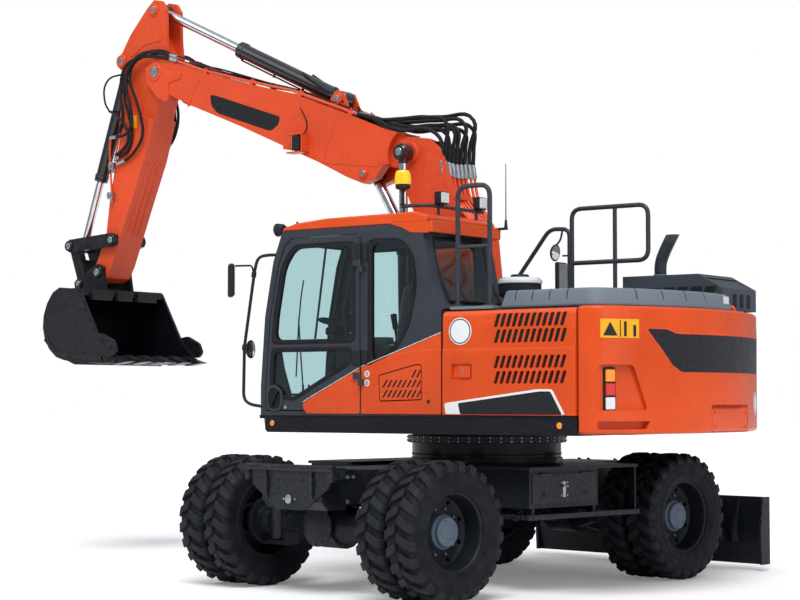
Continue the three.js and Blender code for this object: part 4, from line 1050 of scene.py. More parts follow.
@dataclass
class Wheels(Assembly):
    """Twin tyres with block treads, their rims and the planetary hubs.

    Attributes:
        deck: Axes that the wheels stand in.
        radius: Radius over the tread blocks.
        carcass: Radius of the tyre under the blocks.
        half: Half of a tyre's width.
        bead: Radius of the bead.
        blocks: Tread blocks on each side of a tyre.
        middle: Distance of the pair's middle from the centre line.
        pitch: Distance between the tyres of a pair.
        axles: Place of each axle by its letter.
    """

    deck: Deck = Deck.UNDER
    radius: float = 508.5
    carcass: float = 484.0
    half: float = 129.0
    bead: float = 284.0
    blocks: int = 24
    middle: float = 996.0
    pitch: float = 300.0
    axles: dict[str, float] = field(default_factory=lambda: {"f": 1690.0, "r": -1010.0})

    def _tyre(self) -> bpy.types.Object:
        """Models one tyre about the Y axis."""
        h, c, b = self.half, self.carcass, self.bead
        edge = [(b, -98), (b + 6, -110), (b + 30, -h + 8), (b + 52, -h + 5), (b + 56, -h + 1),
                (b + 72, -h + 1), (b + 76, -h + 4), (400, -h + 1), (440, -h + 3), (462, -h + 10),
                (c - 3, -h + 26), (c, -62)]
        tyre = Bench.turned("tyre", [*edge, *[(r, -y) for r, y in reversed(edge)]], (0, 0, 0), (0, 1, 0), 72)
        shoulder = [(8, c - 10), (8, self.radius - 1.2), (64, self.radius - 0.4), (98, self.radius - 4),
                    (118, self.radius - 18), (h + 0.5, 468), (h + 0.8, 436), (h - 6, 430), (104, c - 24),
                    (70, c - 10)]
        width = math.pi * self.radius / self.blocks
        block = Bench.plate("block", shoulder, -width * 0.5, width * 0.5, Plane.YZ, 5.0, 1)
        for vertex in block.data.vertices:
            vertex.co.x += 0.52 * (vertex.co.y - 0.06)
        other = Bench.copy(block,
                           Matrix.Rotation(math.pi / self.blocks, 4, "Y") @ Matrix.Scale(-1, 4, (0, 1, 0)))
        ring = [tyre, block, other]
        for index in range(1, self.blocks):
            turn = Matrix.Rotation(2 * math.pi * index / self.blocks, 4, "Y")
            ring += [Bench.copy(block, turn), Bench.copy(other, turn)]
        return Bench.smooth(Bench.joined("tyre", ring), 38.0)

    def _rim(self) -> bpy.types.Object:
        """Models the twin rim about the middle of the pair."""
        well = [(292, 250), (283, 250), (270, 238), (261, 205), (254, 150), (247, 112), (226, 98), (190, 92),
                (150, 90), (126, 90), (126, 74), (152, 74), (204, 78), (240, 92), (252, 60), (262, 20),
                (262, 16)]
        inner = [(127, 16), (127, -16), (262, -16), (262, -30), (252, -80), (254, -150), (261, -205),
                 (270, -238), (283, -250), (292, -250), (292, -243), (281, -240), (270, -205), (266, -150),
                 (278, -62), (281, -48), (281, 48), (278, 62), (266, 150), (270, 205), (281, 240), (292, 243)]
        rim = Bench.turned("rim", [*well, *inner], (0, 0, 0), (0, 1, 0), 72)
        holes = []
        for index in range(8):
            turn = math.radians(45 * index + 22.5)
            x, z = 218 * math.cos(turn), 218 * math.sin(turn)
            holes.append(Bench.rod("hole", (x, 60, z), (x, 120, z), 17, 16, 0))
        return Bench.smooth(Bench.cut(rim, Bench.joined("holes", holes)), 30.0)

    def _hub(self) -> bpy.types.Object:
        """Models the planetary hub with its bolts and the wheel nuts."""
        cap = [(0, 190), (44, 190), (48, 186), (60, 186), (64, 182), (98, 182), (106, 176), (108, 152),
               (118, 146), (126, 138), (126, -18), (100, -18), (96, 160), (0, 160)]
        made = [Bench.turned("hub", cap, (0, 0, 0), (0, 1, 0), 48, 1.5)]
        for count, radius, low, high, size in ((5, 82, 180, 188, 7), (10, 168, 88, 108, 11),
                                               (1, 0, 188, 193, 9)):
            for x, z in Draw.around(count, radius):
                made.append(Bench.rod("bolt", (x, low, z), (x, high, z), size, 6, 1.5))
        return Bench.joined("hub", made)

    def build(self) -> None:
        """Models one wheel and sets it on the four corners."""
        tyre, rim, hub = self._tyre(), self._rim(), self._hub()
        for axle, x in self.axles.items():
            for side, sign in (("l", 1), ("r", -1)):
                key = axle + side
                place = Matrix.Translation(Vector((x, 0, AXLE)) * MM) @ Matrix.Scale(sign, 4, (0, 1, 0))
                pair = []
                for index, off in enumerate((self.middle - self.pitch / 2, self.middle + self.pitch / 2)):
                    turn = Matrix.Rotation(random.uniform(0, 0.25) + index * 0.05, 4, "Y")
                    pair.append(Bench.copy(tyre, place @ Matrix.Translation((0, off * MM, 0)) @ turn))
                body = "wheel_" + key
                middle = place @ Matrix.Translation((0, self.middle * MM, 0))
                self.group("twin_tyres_" + key, pair, body, Finish.TYRE, "tyres_" + key)
                self.fit(Bench.copy(rim, middle, "wheel_rim_" + key), body, Finish.RIM, "rim_" + key)
                self.fit(Bench.copy(hub, middle, "wheel_hub_" + key), body, Finish.HUB)
        for spare in (tyre, rim, hub):
            bpy.data.objects.remove(spare)


@dataclass(frozen=True)
class Ram:
    """Sizes of one hydraulic cylinder, in the plane of its deck.

    Attributes:
        name: Stem of the node and body names, with a place for the word barrel or rod.
        base: Pivot of the barrel.
        eye: Pivot of the rod.
        y: Middle of the cylinder.
        outer: Radius of the barrel.
        rod: Radius of the rod.
        length: Length of the barrel as a share of the pivots' distance.
        reach: Length of the rod as a share of the pivots' distance.
        base_eye: Radius and half-width of the barrel's eye.
        rod_eye: Radius and half-width of the rod's eye.
        deck: Axes that it is drawn in.
        pipe: Side of the barrel that its pipe runs along, or nought for none.
    """

    name: str
    base: tuple[float, float]
    eye: tuple[float, float]
    y: float
    outer: float
    rod: float
    length: float
    reach: float
    base_eye: tuple[float, float]
    rod_eye: tuple[float, float]
    deck: Deck = Deck.UPPER
    pipe: int = 1


@dataclass
class Rams(Assembly):
    """Hydraulic cylinders: barrels with glands, pipes and eyes, and plated rods.

    Attributes:
        rams: Every cylinder of the machine.
    """

    rams: tuple[Ram, ...] = (
        *(Ram("blade_{}_" + n, (-1562, 855), (-2000, 445), s * 200, 42, 24, 0.6, 0.55, (44, 36), (40, 33),
              Deck.UNDER, 0) for n, s in (("l", 1), ("r", -1))),
        *(Ram("lift_{}_" + n, (640, 1420), (676, 3514), s * 240, 56, 36, 0.62, 0.62, (72, 48), (72, 48),
              pipe=-1)
          for n, s in SIDES),
        Ram("adjust_{}", (430, 2160), (1147, 3378), 0, 80, 44, 0.66, 0.6, (82, 60), (72, 62), pipe=0),
        Ram("arm_{}", (1494, 4062), (3670, 5105), 0, 68, 42, 0.55, 0.7, (74, 60), (72, 62)),
        Ram("bucket_{}", (4085, 4660), (4690, 2923), 0, 58, 36, 0.64, 0.6, (66, 58), (60, 62), pipe=1),
    )

    @staticmethod
    def _eye(at: tuple[float, float], y: float, size: tuple[float, float]) -> bpy.types.Object:
        """Eye with a bushing."""
        radius, half = size
        ring = [(radius - 4, -half), (radius, -half + 4), (radius, half - 4), (radius - 4, half), (30, half),
                (30, half + 1), (22, half + 1), (22, -half - 1), (30, -half - 1), (30, -half)]
        return Bench.turned("eye", ring, (at[0], y, at[1]), (0, 1, 0), 36)

    def _barrel(self, ram: Ram) -> bpy.types.Object:
        """Models the barrel with its gland and pipe."""
        base, eye = Vector((ram.base[0], ram.y, ram.base[1])), Vector((ram.eye[0], ram.y, ram.eye[1]))
        along = (eye - base).normalized()
        end = (eye - base).length * ram.length
        neck = ram.base_eye[0]
        outer = ram.outer
        profile = [(ram.rod + 1, end), (outer - 2, end), (outer + 8, end - 6), (outer + 8, end - 26),
                   (outer + 4, end - 30), (outer + 9, end - 34), (outer + 9, end - 64), (outer, end - 72),
                   (outer, neck + 76), (outer + 5, neck + 70), (outer + 5, neck + 46), (outer, neck + 40),
                   (outer * 0.9, neck + 26), (outer * 0.62, neck + 4), (0, neck + 4), (0, neck + 60),
                   (ram.rod + 1, neck + 64)]
        made = [Bench.turned("barrel", profile, base, along, 40), self._eye(ram.base, ram.y, ram.base_eye),
                Bench.rod("neck", base, base + along * (neck + 30), min(outer, ram.base_eye[1]) - 5, 20, 2)]
        side = along.cross(Vector((0, 1, 0))).normalized()
        if ram.pipe:
            out = side * -ram.pipe
            lift = outer + 16
            first, last = neck + 58, end - 48
            made.append(Bench.tube("pipe", Bench.bent([base + along * first + out * (outer - 8),
                                                       base + along * first + out * lift,
                                                       base + along * last + out * lift,
                                                       base + along * last + out * (outer - 6)], 26), 8, 10,
                                                       False))
            for share in (0.3, 0.62):
                at = base + along * (first + (last - first) * share)
                made.append(Bench.rod("clip", at + out * (outer - 4), at + out * (lift + 12), 12, 8, 2))
        for turn in range(6):
            spin = Matrix.Rotation(math.radians(60 * turn + 15), 3, along)
            at = base + along * end + spin @ side * (outer - 9)
            made.append(Bench.rod("bolt", at - along * 2, at + along * 7, 6.5, 6, 1))
        return Bench.joined(ram.name.format("barrel") + "_shell", made)

    def build(self) -> None:
        """Models every cylinder."""
        for ram in self.rams:
            self.deck = ram.deck
            barrel, rod = ram.name.format("barrel"), ram.name.format("rod")
            self.fit(self._barrel(ram), barrel, Finish.CYLINDER, barrel)
            base, eye = Vector((ram.base[0], ram.y, ram.base[1])), Vector((ram.eye[0], ram.y, ram.eye[1]))
            along = (base - eye).normalized()
            reach = (eye - base).length * ram.reach
            self.fit(Bench.rod(rod + "_shaft", eye + along * (ram.rod_eye[0] * 0.6), eye + along * reach,
                               ram.rod, 40, 3),
                     rod, Finish.CHROME, rod)
            head = [self._eye(ram.eye, ram.y, ram.rod_eye),
                    Bench.rod("neck", eye + along * 10, eye + along * (ram.rod_eye[0] + 26), ram.rod + 7, 24,
                              4, ram.rod + 2)]
            self.group(rod + "_head", head, rod, Finish.CYLINDER)


@dataclass
class Undercarriage(Assembly):
    """Bolts, treads, latches, hoses and plates on the lower structure.

    Attributes:
        deck: Axes that it stands in.
    """

    deck: Deck = Deck.UNDER

    def build(self) -> None:
        """Models the details of the lower structure."""
        self._ring()
        self._boxes()
        self._frame()
        self._axles()
        self._blade()

    def _ring(self) -> None:
        """Bolted flange of the slewing ring and its seal."""
        flange = [(606, 1104), (644, 1104), (648, 1108), (648, 1160), (644, 1164), (606, 1164)]
        self.fit(Bench.turned("ring_flange", flange, (0, 0, 0), (0, 0, 1), 80), "chassis", Finish.NAVY)
        bolts = []
        for x, y in Draw.around(48, 1):
            out = Vector((x, y, 0))
            for z in (1120, 1148):
                bolts.append(Bench.rod("bolt", out * 646 + Vector((0, 0, z)), out * 655 + Vector((0, 0, z)),
                                       7, 6, 1.5))
        self.group("ring_bolts", bolts, "chassis", Finish.STEEL)
        band = [(611, 1010), (615, 1012), (615, 1018), (611, 1020), (606, 1020), (606, 1010)]
        self.fit(Bench.turned("ring_band", band, (0, 0, 0), (0, 0, 1), 72), "chassis", Finish.SEAL)

    def _boxes(self) -> None:
        """Doors, latches and step treads of the side boxes."""
        for name, s in SIDES:
            door = [Bench.block("door", (75, s * 1199, 672), (815, s * 1207, 896), 5, 2),
                    Bench.rod("hinge", (160, s * 1208, 897), (260, s * 1208, 897), 8, 10, 1),
                    Bench.rod("hinge", (630, s * 1208, 897), (730, s * 1208, 897), 8, 10, 1)]
            self.group("toolbox_door_" + name, door, "chassis", Finish.NAVY)
            latch = [Bench.block("latch", (436, s * 1205, 716), (468, s * 1211, 836), 3, 2),
                     Bench.rod("handle", (452, s * 1206, 800), (452, s * 1226, 800), 9, 12, 2),
                     Bench.rod("handle", (422, s * 1224, 800), (482, s * 1224, 800), 7, 10, 2)]
            latch += [Bench.rod("bolt", (x, s * 1206, z), (x, s * 1212, z), 7, 6, 1) for x in (418, 486)
                      for z in (730, 826)]
            self.group("toolbox_latch_" + name, latch, "chassis", Finish.STEEL)
            # Dark discs on the door faces: painted shade standing in for two holes, which are not cut.
            holes = [Bench.rod("hole", (x, s * 1206, 742), (x, s * 1208.5, 742), 17, 20, 1)
                     for x in (210, 690)]
            self.group("toolbox_hole_shade_" + name, holes, "chassis", Finish.SEAL)
            treads = []
            for row in range(4):
                for col in range(22):
                    x, y = -400 + col * 58 + (row % 2) * 26, 968 + row * 72
                    treads.append(Bench.rod("stud", (x, s * y, 587), (x, s * y, 594), 12, 6, 2, 8))
            self.group("step_treads_" + name, treads, "chassis", Finish.NAVY)
            edge = [Bench.block("edge", (-430, s * 1226, 556), (890, s * 1236, 596), 4, 2),
                    Bench.rod("reflector", (830, s * 1235, 576), (830, s * 1239, 576), 13, 16, 1)]
            self.group("step_edge_" + name, edge, "chassis", Finish.NAVY)

    def _frame(self) -> None:
        """Bolts, hoses, the front plate with its bumper and the front pin on the centre frame."""
        bolts = []
        for s in (1, -1):
            for x, z in ((1500, 880), (1560, 880), (1820, 880), (1880, 880), (-1240, 880), (-1180, 880),
                         (-840, 880), (-780, 880), (1500, 700), (1880, 700), (-1240, 700), (-780, 700)):
                bolts.append(Bench.rod("bolt", (x, s * 328, z), (x, s * 342, z), 15, 6, 2))
        self.group("frame_bolts", bolts, "chassis", Finish.HUB)
        lines = []
        for s in (1, -1):
            for step in range(3):
                y, z = s * (338 + step * 22), 800 + step * 24
                lines.append(Bench.tube("line", Bench.bent([(-700, y, z), (-420, y, z), (-120, y, z + 20),
                                                            (420, y, z + 20), (1180, y, z),
                                                            (1440, s * 300, z - 60)], 60), 10, 10, False))
        self.group("brake_lines", lines, "chassis", Finish.HOSE)
        face = Draw.soft([(-430, 948), (430, 948), (430, 820), (150, 640), (-150, 640), (-430, 820)], 30, 4)
        front = [Bench.plate("face", face, 2122, 2146, Plane.YZ, 5, 2),
                 Bench.tube("bumper", [(2158, -486, 948), (2158, 486, 948)], 27, 20, False),
                 Bench.block("lug", (2140, 440, 850), (2172, 486, 960), 8, 2),
                 Bench.block("lug", (2140, -486, 850), (2172, -440, 960), 8, 2)]
        front += [Bench.plate("gusset", [(2146, 700), (2170, 760), (2170, 930), (2146, 940)], y - 9, y + 9,
                              Plane.XZ, 3)
                  for y in (-250, 250)]
        self.group("front_plate", front, "chassis", Finish.NAVY)
        ring = [Bench.turned("boss", [(0, 0), (30, 0), (34, 6), (34, 22), (24, 26), (0, 26)], (2146, 0, 720),
                             (1, 0, 0), 28),
                *[Bench.rod("bolt", (2146, y, 720), (2158, y, 720), 9, 6, 2) for y in (-62, 62)]]
        self.group("front_pin", ring, "chassis", Finish.STEEL)

    def _axles(self) -> None:
        """Bolt circles of the differential covers and the joints of the propeller shafts."""
        for name, x, s in (("front", 1690, -1), ("rear", -1010, 1)):
            cover = [(0, 0), (150, 0), (156, 6), (156, 18), (130, 26), (60, 34), (0, 34)]
            made = [Bench.turned("cover", cover, (x - s * 172, 0, AXLE), (-s, 0, 0), 36)]
            for y, z in Draw.around(12, 141):
                made.append(Bench.rod("bolt", (x - s * 186, y, AXLE + z), (x - s * 202, y, AXLE + z), 9, 6,
                                      1.5))
            self.group("axle_cover_" + name, made, "chassis", Finish.NAVY)
        for end, s in (("front", 1), ("rear", -1)):
            yoke = []
            for x in (330, 900) if s > 0 else (-640, -330):
                for turn in (0, 90):
                    spin = math.radians(turn)
                    y, z = 58 * math.cos(spin), 58 * math.sin(spin)
                    yoke.append(Bench.rod("cross", (x, -y, AXLE - z), (x, y, AXLE + z), 17, 14, 3))
                yoke.append(Bench.rod("flange", (x - 40, 0, AXLE), (x - 26, 0, AXLE), 70, 28, 3))
            self.group("shaft_joints_" + end, yoke, "chassis", Finish.CAST)

    def _blade(self) -> None:
        """Cutting edge, its bolts and the pins of the dozer blade."""
        edge = [Bench.block("edge", (-2150, y - 410, 56), (-2128, y + 410, 190), 4, 1)
                for y in (-834, 0, 834)]
        for y in range(-1140, 1200, 190):
            for z in (90, 150):
                edge.append(Bench.rod("bolt", (-2148, y, z), (-2158, y, z), 15, 12, 3, 9))
        self.group("blade_edge", edge, "blade", Finish.CAST)
        ribs = [Bench.plate("rib", [(-2078, 240), (-2000, 240), (-2000, 330), (-2084, 540), (-2116, 600),
                                    (-2084, 500), (-2068, 330)], y - 10, y + 10, Plane.XZ, 3)
                                    for y in (-1000, -640, 640, 1000)]
        self.group("blade_ribs", ribs, "blade", Finish.NAVY)
        pins = []
        for s in (1, -1):
            for at, low, high, size in (((-1480, 430), 384, 392, 46), ((-2000, 445), 262, 270, 34)):
                pins.append(Bench.rod("pin", (at[0], s * low, at[1]), (at[0], s * high, at[1]), size, 28, 3))
        self.group("blade_pins", pins, "blade", Finish.STEEL)


@dataclass
class Body(Assembly):
    """Counterweight, side doors, hood and exhaust of the upper structure.

    Attributes:
        tail_radius: Radius of the counterweight's back.
        seam: Joint between the side doors and the counterweight.
        top: Top of the side panels.
        bottom: Bottom of the counterweight.
        crease: Height of the crease along the side.
    """

    tail_radius: float = 2176.0
    seam: float = -1626.0
    top: float = 2125.0
    bottom: float = 1202.0
    crease: float = 1828.0

    def build(self) -> None:
        """Models the body in order."""
        self._counterweight()
        self._tail_details()
        self._side_doors()
        self._skirt()
        self._hood()
        self._exhaust()
        self._cleaner()
        self._rails()
        self._tank()

    def _patch(self, name: str, outline: Outline, proud: float, turn: float = 180.0) -> bpy.types.Object:
        """Thin sheet that follows the counterweight's back.

        Args:
            name: Name of the sheet.
            outline: Corners as distance along the back and height.
            proud: How far it stands off the back.
            turn: Direction of the sheet's middle from the slewing axis, in degrees.

        Returns:
            The sheet.
        """
        low, high = min(z for _, z in outline) - 10, max(z for _, z in outline) + 10
        r = self.tail_radius
        ring = Bench.turned(name, [(r - 8, low), (r + proud, low), (r + proud, high), (r - 8, high)],
                            (0, 0, 0), (0, 0, 1), 160)
        tool = Bench.plate("tool", outline, r - 260, r + 60, Plane.YZ, 0)
        tool.data.transform(Matrix.Rotation(math.radians(turn), 4, "Z"))
        Bench.apply(ring, "BOOLEAN", operation="INTERSECT", object=tool, solver="EXACT")
        bpy.data.objects.remove(tool)
        return Bench.smooth(ring)

    def _counterweight(self) -> None:
        """Casting with its bay, notch and lamp pockets."""
        body = Bench.plate("counterweight_casting", Draw.tail(self.tail_radius, 1260, self.seam, 190),
                           self.bottom, self.top, Plane.XY, 26, 4)
        tools = [Bench.block("tool", (-1995, -600, 1180), (-1600, 600, 1328), 0),
                 Bench.block("tool", (-1880, -1000, 1866), (-1600, 1000, 2140), 0),
                 Bench.block("tool", (-2230, -430, 1190), (-2116, 230, 1412), 16, 3)]
        for s in (1, -1):
            pocket = Draw.soft([(-235, 1374), (175, 1374), (52, 1701), (-212, 1701), (-235, 1670)], 30, 4)
            slot = Draw.soft([(-235, 1238), (165, 1238), (195, 1296), (-235, 1296)], 10, 3)
            for outline, depth in ((pocket, 24), (slot, 52)):
                flipped = [(u * s, z) for u, z in outline]
                tool = Bench.plate("tool", flipped, self.tail_radius - depth - 12, self.tail_radius + 60,
                                   Plane.YZ, 0)
                tool.data.transform(Matrix.Rotation(math.radians(s * 151.5), 4, "Z"))
                tools.append(tool)
        for tool in tools:
            Bench.cut(body, tool)
        self.fit(Bench.rounded(body, 3, 2, 40), "upper", Finish.ORANGE, "counterweight")
        cover = [Bench.block("cover", (-2150, -392, 1216), (-2112, 192, 1392), 14, 3)]
        cover += [Bench.rod("bolt", (-2148, y, z), (-2160, y, z), 12, 6, 2) for y in (-350, 150)
                  for z in (1250, 1358)]
        self.group("tail_cover", cover, "upper", Finish.ORANGE)

    def _tail_details(self) -> None:
        """Blank plate, signs, lamps and discs on the counterweight."""
        plate = [(-885, 1961), (-716, 1961), (-622, 1929), (850, 1929), (868, 1900), (842, 1690), (800, 1652),
                 (-572, 1652), (-660, 1700)]
        self.fit(self._patch("tail_plate_edge", Draw.soft(Draw.inset(plate, -12), 20), 2), "upper",
                 Finish.ORANGE_FRAME)
        self.fit(self._patch("tail_plate", Draw.soft(plate, 24), 4), "upper", Finish.BLACK)
        disc = Draw.arc((0, 1415), 92, 0, 348.75, 31)
        self.fit(self._patch("tail_disc", disc, 2.5, -160.5), "upper", Finish.WHITE)
        ring = self._patch("tail_disc_ring", Draw.arc((0, 1415), 84, 0, 348.75, 31), 3.2, -160.5)
        inner = Bench.rod("tool", (self.tail_radius - 60, 0, 1415), (self.tail_radius + 60, 0, 1415), 76, 40,
                          0)
        inner.data.transform(Matrix.Rotation(math.radians(-160.5), 4, "Z"))
        self.fit(Bench.cut(ring, inner), "upper", Finish.BLACK)
        for name, s in SIDES:
            sign = [(-158, 1892), (158, 1892), (158, 2028), (-158, 2028)]
            turn = s * 150.0
            self.fit(self._patch("tail_sign_" + name, sign, 2, turn), "upper", Finish.YELLOW)
            lines = [[(u * s, z) for u, z in line] for line in (
                [(-4, 1900), (4, 1900), (4, 2020), (-4, 2020)], [(-140, 1908), (-24, 1908), (-82, 2008)],
                [(30, 1904), (52, 1904), (52, 2012), (30, 2012)],
                [(108, 1904), (132, 1904), (132, 1986), (108, 1986)])]
            for index, line in enumerate(lines):
                mark = self._patch(f"tail_sign_mark_{name}_{index}", line, 3, turn)
                self.fit(mark, "upper", Finish.BLACK)
            place = Matrix.Rotation(math.radians(s * 147.9), 4, "Z")
            r = self.tail_radius
            case = Bench.block("tail_lamp_case_" + name, (r - 50, -48, 1364), (r - 8, 48, 1684), 14, 3)
            case.data.transform(place)
            self.fit(case, "upper", Finish.SEAL)
            for tone, z, finish in (("amber", 1622, Finish.AMBER), ("red", 1524, Finish.RED),
                                    ("clear", 1424, Finish.CLEAR)):
                lens = Bench.block(f"tail_lamp_{tone}_{name}", (r - 14, -38, z - 44), (r + 2, 38, z + 44), 13,
                                   3)
                lens.data.transform(place)
                self.fit(lens, "upper", finish)
            hook = Bench.tube("lifting_eye_" + name,
                              Bench.bent([(-1960, s * 560, 2112), (-1960, s * 560, 2178),
                                                                 (-1840, s * 560, 2178),
                                                                 (-1840, s * 560, 2112)], 46), 15,
                              12, False)
            self.fit(hook, "upper", Finish.ORANGE_FRAME)

    def _side_doors(self) -> None:
        """Side doors with slanted louvres, a paddle latch and a blank band."""
        profile = [(1218, 1334), (1263, 1334), (1265, 1350), (1265, self.crease - 16),
                   (1262, self.crease - 4), (1257, self.crease + 12), (1256, 2060), (1250, 2092),
                   (1236, 2112), (1218, 2117)]
        for name, s in SIDES:
            body = "side_door_" + name
            door = Bench.plate(body + "_panel", profile, -1615, -448, Plane.YZ, 4, 2)
            tools = []
            for low, high in ((1985, 2086), (1868, 1969), (1680, 1776), (1566, 1662)):
                for outline in Draw.slots(-1512.0, 52.0, 12, low, high, 33, -32):
                    tools.append(Bench.plate("slot", outline, 1247, 1290, Plane.XZ, 0))
            tools.append(Bench.block("slot", (-716, 1244, 1600), (-532, 1290, 1718), 6))
            Bench.smooth(Bench.cut(door, Bench.joined("slots", tools)))
            mirror = Matrix.Scale(s, 4, (0, 1, 0))
            self.fit(Bench.copy(door, mirror, body + "_shell"), body, Finish.ORANGE, body)
            bpy.data.objects.remove(door)
            # Near-black plate inside the door that shows as the floor of every louvre pocket: painted shade
            # of the openings.
            back = Bench.block(body + "_mesh", (-1570, 1240, 1550), (-840, 1248.5, 2092), 0)
            self._both(back, mirror, body, Finish.VENT)
            paddle = [Bench.block("paddle", (-700, 1243, 1614), (-590, 1262, 1704), 5, 2),
                      Bench.block("paddle", (-585, 1243, 1614), (-548, 1250, 1704), 3, 2)]
            self._both(Bench.joined(body + "_latch", paddle), mirror, body, Finish.ORANGE)
            lock = Bench.rod(body + "_lock", (-640, 1260, 1668), (-640, 1265, 1668), 11, 18, 1)
            self._both(lock, mirror, body, Finish.CHROME)
            band = Draw.soft([(-466, 1424), (-1290, 1526), (-1418, 1526), (-1526, 1342), (-480, 1342)], 16, 4)
            dark = Draw.soft([(-592, 1424), (-1306, 1510), (-1404, 1510), (-1502, 1342), (-612, 1342)], 14, 4)
            self._both(Bench.plate(body + "_band_edge", band, 1262, 1266.2, Plane.XZ, 0.6, 1), mirror, body,
                       Finish.WHITE)
            self._both(Bench.plate(body + "_band", dark, 1262, 1267.2, Plane.XZ, 0.6, 1), mirror, body,
                       Finish.BLACK)
            disc = Bench.turned(body + "_disc", [(0, 0), (102, 0), (102, 3), (0, 3)], (-608, 1255.5, 1962),
                                (0, 1, 0), 48)
            self._both(disc, mirror, body, Finish.WHITE)
            ring = Bench.turned(body + "_disc_ring", [(86, 0), (94, 0), (94, 4), (86, 4)],
                                (-608, 1255.5, 1962), (0, 1, 0), 48)
            self._both(ring, mirror, body, Finish.BLACK)

    def _both(self, piece: bpy.types.Object, mirror: Matrix, body: str, finish: Finish) -> None:
        """Sets a piece on its own side."""
        piece.data.transform(mirror)
        if mirror.determinant() < 0:
            piece.data.flip_normals()
        self.fit(piece, body, finish)

    def _tank(self) -> None:
        """Treads, door, door hardware and filler caps of the tank on the right."""
        outer = -1260.0
        pads = []
        for x0, z0, x1, z1 in ((776, 1834.7, 990, 1803), (1046, 1595.4, 1286, 1563), (180, 2100, 660, 2100)):
            pads.append(Bench.plate("pad", [(x0, z0 - 2), (x1, z1 - 2), (x1, z1 + 4), (x0, z0 + 4)], -1120
                                    if x0 < 700 else -1220,
                                    -400, Plane.XZ, 1, 1))
            for step in range(int((x1 - x0) / 56)):
                x = x0 + 30 + step * 56
                z = z0 + (z1 - z0) * (x - x0) / (x1 - x0)
                for y in range(-1090 if x0 < 700 else -1190, -410, 72):
                    pads.append(Bench.rod("stud", (x, y, z + 3), (x, y, z + 9), 13, 6, 3, 8))
        self.group("tank_treads", pads, "upper", Finish.PLASTIC)
        face = Bench.plate("tank_door", Draw.soft([(-380, 1380), (560, 1380), (560, 1980), (-380, 1980)], 40,
                                                  4), outer - 8,
                           outer + 3, Plane.XZ, 4, 2)
        Bench.smooth(Bench.cut(face,
                               Bench.block("pocket", (400, outer - 40, 1620), (510, outer - 3, 1730), 6)))
        self.fit(face, "upper", Finish.ORANGE)
        hinges = [Bench.rod("hinge", (-394, outer - 6, z), (-394, outer - 6, z + 90), 11, 14, 2)
                  for z in (1450, 1820)]
        hinges += [Bench.block("paddle", (414, outer - 9, 1634), (496, outer + 1, 1716), 5, 2)]
        self.group("tank_door_hardware", hinges, "upper", Finish.PLASTIC)
        caps = [Bench.turned("cap", [(0, 0), (62, 0), (66, 6), (66, 40), (58, 50), (20, 54), (0, 54)],
                             (x, y, 2100), (0, 0, 1), 24)
                for x, y in ((-60, -1060), (60, -700))]
        self.group("tank_caps", caps, "upper", Finish.PLASTIC)

    def _skirt(self) -> None:
        """Round markers along the skirt and the lips of the skirt."""
        for name, s in SIDES:
            rims, lenses = [], []
            for x, z in ((1225, 1262), (-1478, 1262)):
                rims.append(Bench.turned("rim", [(24, 0), (34, 0), (34, 5), (30, 8), (24, 8)],
                                         (x, s * 1258, z), (0, s, 0), 28))
                lenses.append(Bench.turned("lens", [(0, 0), (25, 0), (25, 6), (20, 10), (0, 12)],
                                           (x, s * 1258, z), (0, s, 0), 28))
            self.group("skirt_marker_rims_" + name, rims, "upper", Finish.SEAL)
            self.group("skirt_markers_" + name, lenses, "upper", Finish.AMBER)
            lip = Bench.block("skirt_lip_" + name, (-1600, s * 1257, 1316), (1362, s * 1264, 1327), 2, 1)
            self.fit(lip, "upper", Finish.SKIRT)
        self.fit(Bench.block("front_lip", (1366, -1240, 1300), (1380, 1240, 1326), 4, 2), "upper",
                 Finish.SKIRT)

    def _hood(self) -> None:
        """Engine hood with its segments and the work lamp behind it."""
        shell = Bench.plate("engine_hood_shell", Draw.tail(2086, 1170, -900, 150), 2126, 2262, Plane.XY, 0)
        for vertex in shell.data.vertices:
            if vertex.co.z > 2.2:
                flat = Vector((vertex.co.x, vertex.co.y, 0.0))
                vertex.co.x -= flat.x / flat.length * 0.05 if vertex.co.x < -0.91 else 0.03
                vertex.co.y -= flat.y / flat.length * 0.05
        Bench.rounded(shell, 22, 4)
        inside = Bench.plate("inside", Draw.tail(2030, 1120, -950, 120), 2100, 2222, Plane.XY, 0)
        Bench.cut(shell, inside)
        Bench.cut(shell, Bench.block("half", (-2300, -1300, 2000), (-800, -330, 2300), 0))
        grooves = []
        for x in (-1030, -1180, -1330, -1480):
            grooves.append(Bench.block("groove", (x - 5, 1108, 2180), (x + 5, 1200, 2275), 0))
        for turn in (156, 163, 170, 177):
            groove = Bench.block("groove", (2020, -6, 2180), (2110, 6, 2275), 0)
            groove.data.transform(Matrix.Rotation(math.radians(turn), 4, "Z"))
            grooves.append(groove)
        Bench.cut(shell, Bench.joined("grooves", grooves))
        self.fit(Bench.smooth(shell), "hood", Finish.HOOD, "engine_hood")
        pads = [Bench.block("pad", (-1500 + x, -250 + y, 2262), (-1230 + x, -20 + y, 2270), 5, 2)
                for x in (0, 300) for y in (0, 330, 660)]
        self.group("hood_pads", pads, "hood", Finish.HOOD)
        lamp = Bench.block("tail_work_lamp", (-2050, -292, 2176), (-1988, -188, 2246), 10, 3)
        self.fit(lamp, "upper", Finish.HOOD)
        self.fit(Bench.block("tail_work_lens", (-2056, -284, 2182), (-2046, -196, 2240), 8, 2), "upper",
                 Finish.CLEAR)
        stem = [Bench.block("stem", (-2040, -254, 2122), (-2000, -226, 2182), 4, 1),
                Bench.block("stem", (-2050, -276, 2120), (-1990, -204, 2130), 3, 1)]
        self.group("tail_work_lamp_stem", stem, "upper", Finish.ORANGE_FRAME)

